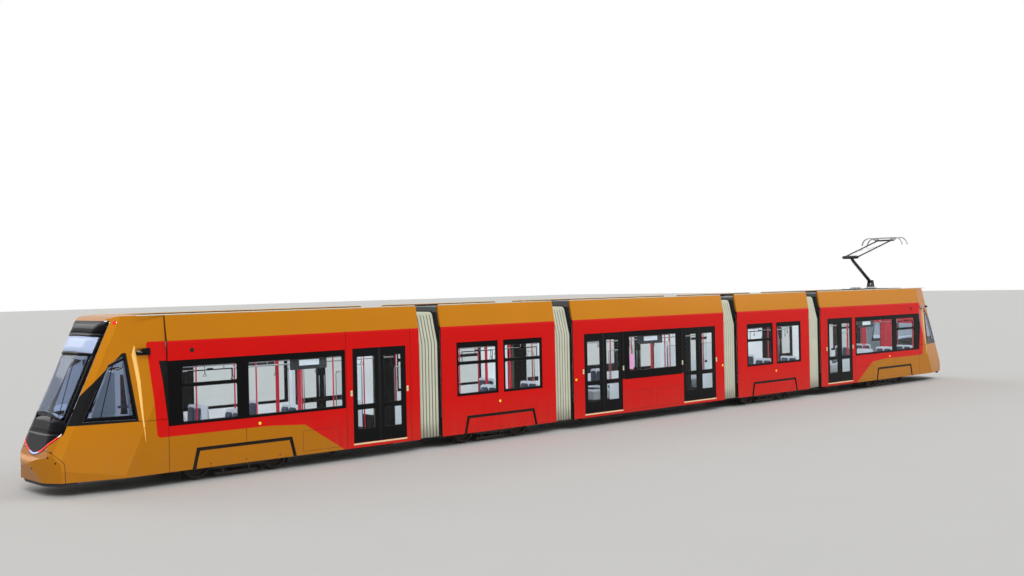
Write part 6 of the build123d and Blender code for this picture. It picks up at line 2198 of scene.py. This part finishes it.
def roof_kits() -> list[RoofKit]:
    """The five cars' roofs."""
    return [
        RoofKit("a", (-14.37, -8.23), [Case((-13.9, -11.9), 0.9, 0.44, 2), Case((-11.4, -9.3), 0.9, 0.4)]),
        RoofKit("b", (-7.5, -3.84), [Case((-7.14, -5.9), 0.9, 0.42), Case((-5.5, -4.15), 0.85, 0.38, 1)]),
        RoofKit("c", (-3.11, 3.11), [
            Case((-2.6, -0.7), 0.88, 0.44, 2), Case((-0.3, 0.7), 0.7, 0.36), Case((1.0, 2.6), 0.88, 0.4, 1),
        ]),
        RoofKit("d", (3.84, 7.5), [Case((4.15, 5.5), 0.85, 0.38, 1), Case((5.9, 7.14), 0.9, 0.42)]),
        RoofKit("e", (8.23, 14.37), [Case((8.9, 11.2), 0.9, 0.4, 2)]),
    ]


def bogie_benches(x: float) -> list[Bench]:
    """The eight benches over one bogie, facing each other in pairs."""
    rows = ((-1.31, 1), (-0.04, -1), (0.04, 1), (1.31, -1))
    return [Bench(x + dx, (side * 0.52, side * 1.12), facing, 0.72) for dx, facing in rows for side in SIDES]


def saloons() -> list[Saloon]:
    """The five cars' insides."""
    aisle = [(dx, y) for dx in (-0.7, 0.7) for y in (-0.46, 0.46)]
    door_a = [(-9.315 + dx, y, 0.39) for dx in (-0.87, 0.87) for y in (-0.64, 0.64)]
    poles_a = [(-12.72 + dx, y, 0.46) for dx, y in aisle] + door_a
    poles_b = [(-5.67 + dx, y, 0.46) for dx, y in aisle]
    poles_c = [(door + dx, y, 0.39) for door in (-2.01, 2.01) for dx in (-0.87, 0.87) for y in (-0.64, 0.64)]
    benches_c = [Bench(f * 0.06, (side * 0.68, side * 1.12), f, 0.69, 2) for f in SIDES for side in SIDES]

    def turned(benches: list[Bench]) -> list[Bench]:
        """The benches of the matching car at +X."""
        return [Bench(-b.x, (-b.y[0], -b.y[1]), -b.facing, b.base, b.places) for b in benches]

    def turned_poles(poles: list[tuple[float, float, float]]) -> list[tuple[float, float, float]]:
        """The poles of the matching car at +X."""
        return [(-x, -y, z) for x, y, z in poles]

    benches_a, benches_b = bogie_benches(-12.72), bogie_benches(-5.67)
    return [
        Saloon("a", (-14.4, -8.231), benches_a, poles_a, [-8.5, -10.12], [(-11.1, 0.25)], [(-10.95, 0.46)]),
        Saloon("b", (-7.499, -3.841), benches_b, poles_b, posts=[(-4.7, 0.46)]),
        Saloon(
            "c", (-3.109, 3.109), benches_c, poles_c, [-1.22, 1.22, -2.8, 2.8], [(0.0, 0.28)], [(0.78, 0.39)],
            [-0.86],
        ),
        Saloon("d", (3.841, 7.499), turned(benches_b), turned_poles(poles_b), posts=[(4.7, 0.46)]),
        Saloon(
            "e", (8.231, 14.4), turned(benches_a), turned_poles(poles_a), [8.5, 10.12], [(11.1, 0.25)],
            [(10.95, 0.46)],
        ),
    ]


def main() -> None:
    """Build the tram's pieces in order, then the studio."""
    logging.basicConfig(level=logging.INFO, format="%(message)s")
    dress_nodes()
    for car, bands in window_bands().items():
        Glazing().build(car, bands)
    Doors().build("ae", [-9.315])
    Doors().build("c", [-2.01, 2.01])
    for saloon in saloons():
        saloon.build()
    Cab().build()
    Front().build()
    for name, pivot in (("ab", -7.865), ("bc", -3.475), ("cd", 3.475), ("de", 7.865)):
        Gangway(name, pivot).build()
    SideTrim().build()
    for kit in roof_kits():
        kit.build()
    for letter, x in (("a", -12.72), ("b", -5.67), ("d", 5.67), ("e", 12.72)):
        BogieKit(letter, x).build()
    PantographKit().build()
    Studio().build()


if __name__ == "__main__":
    main()
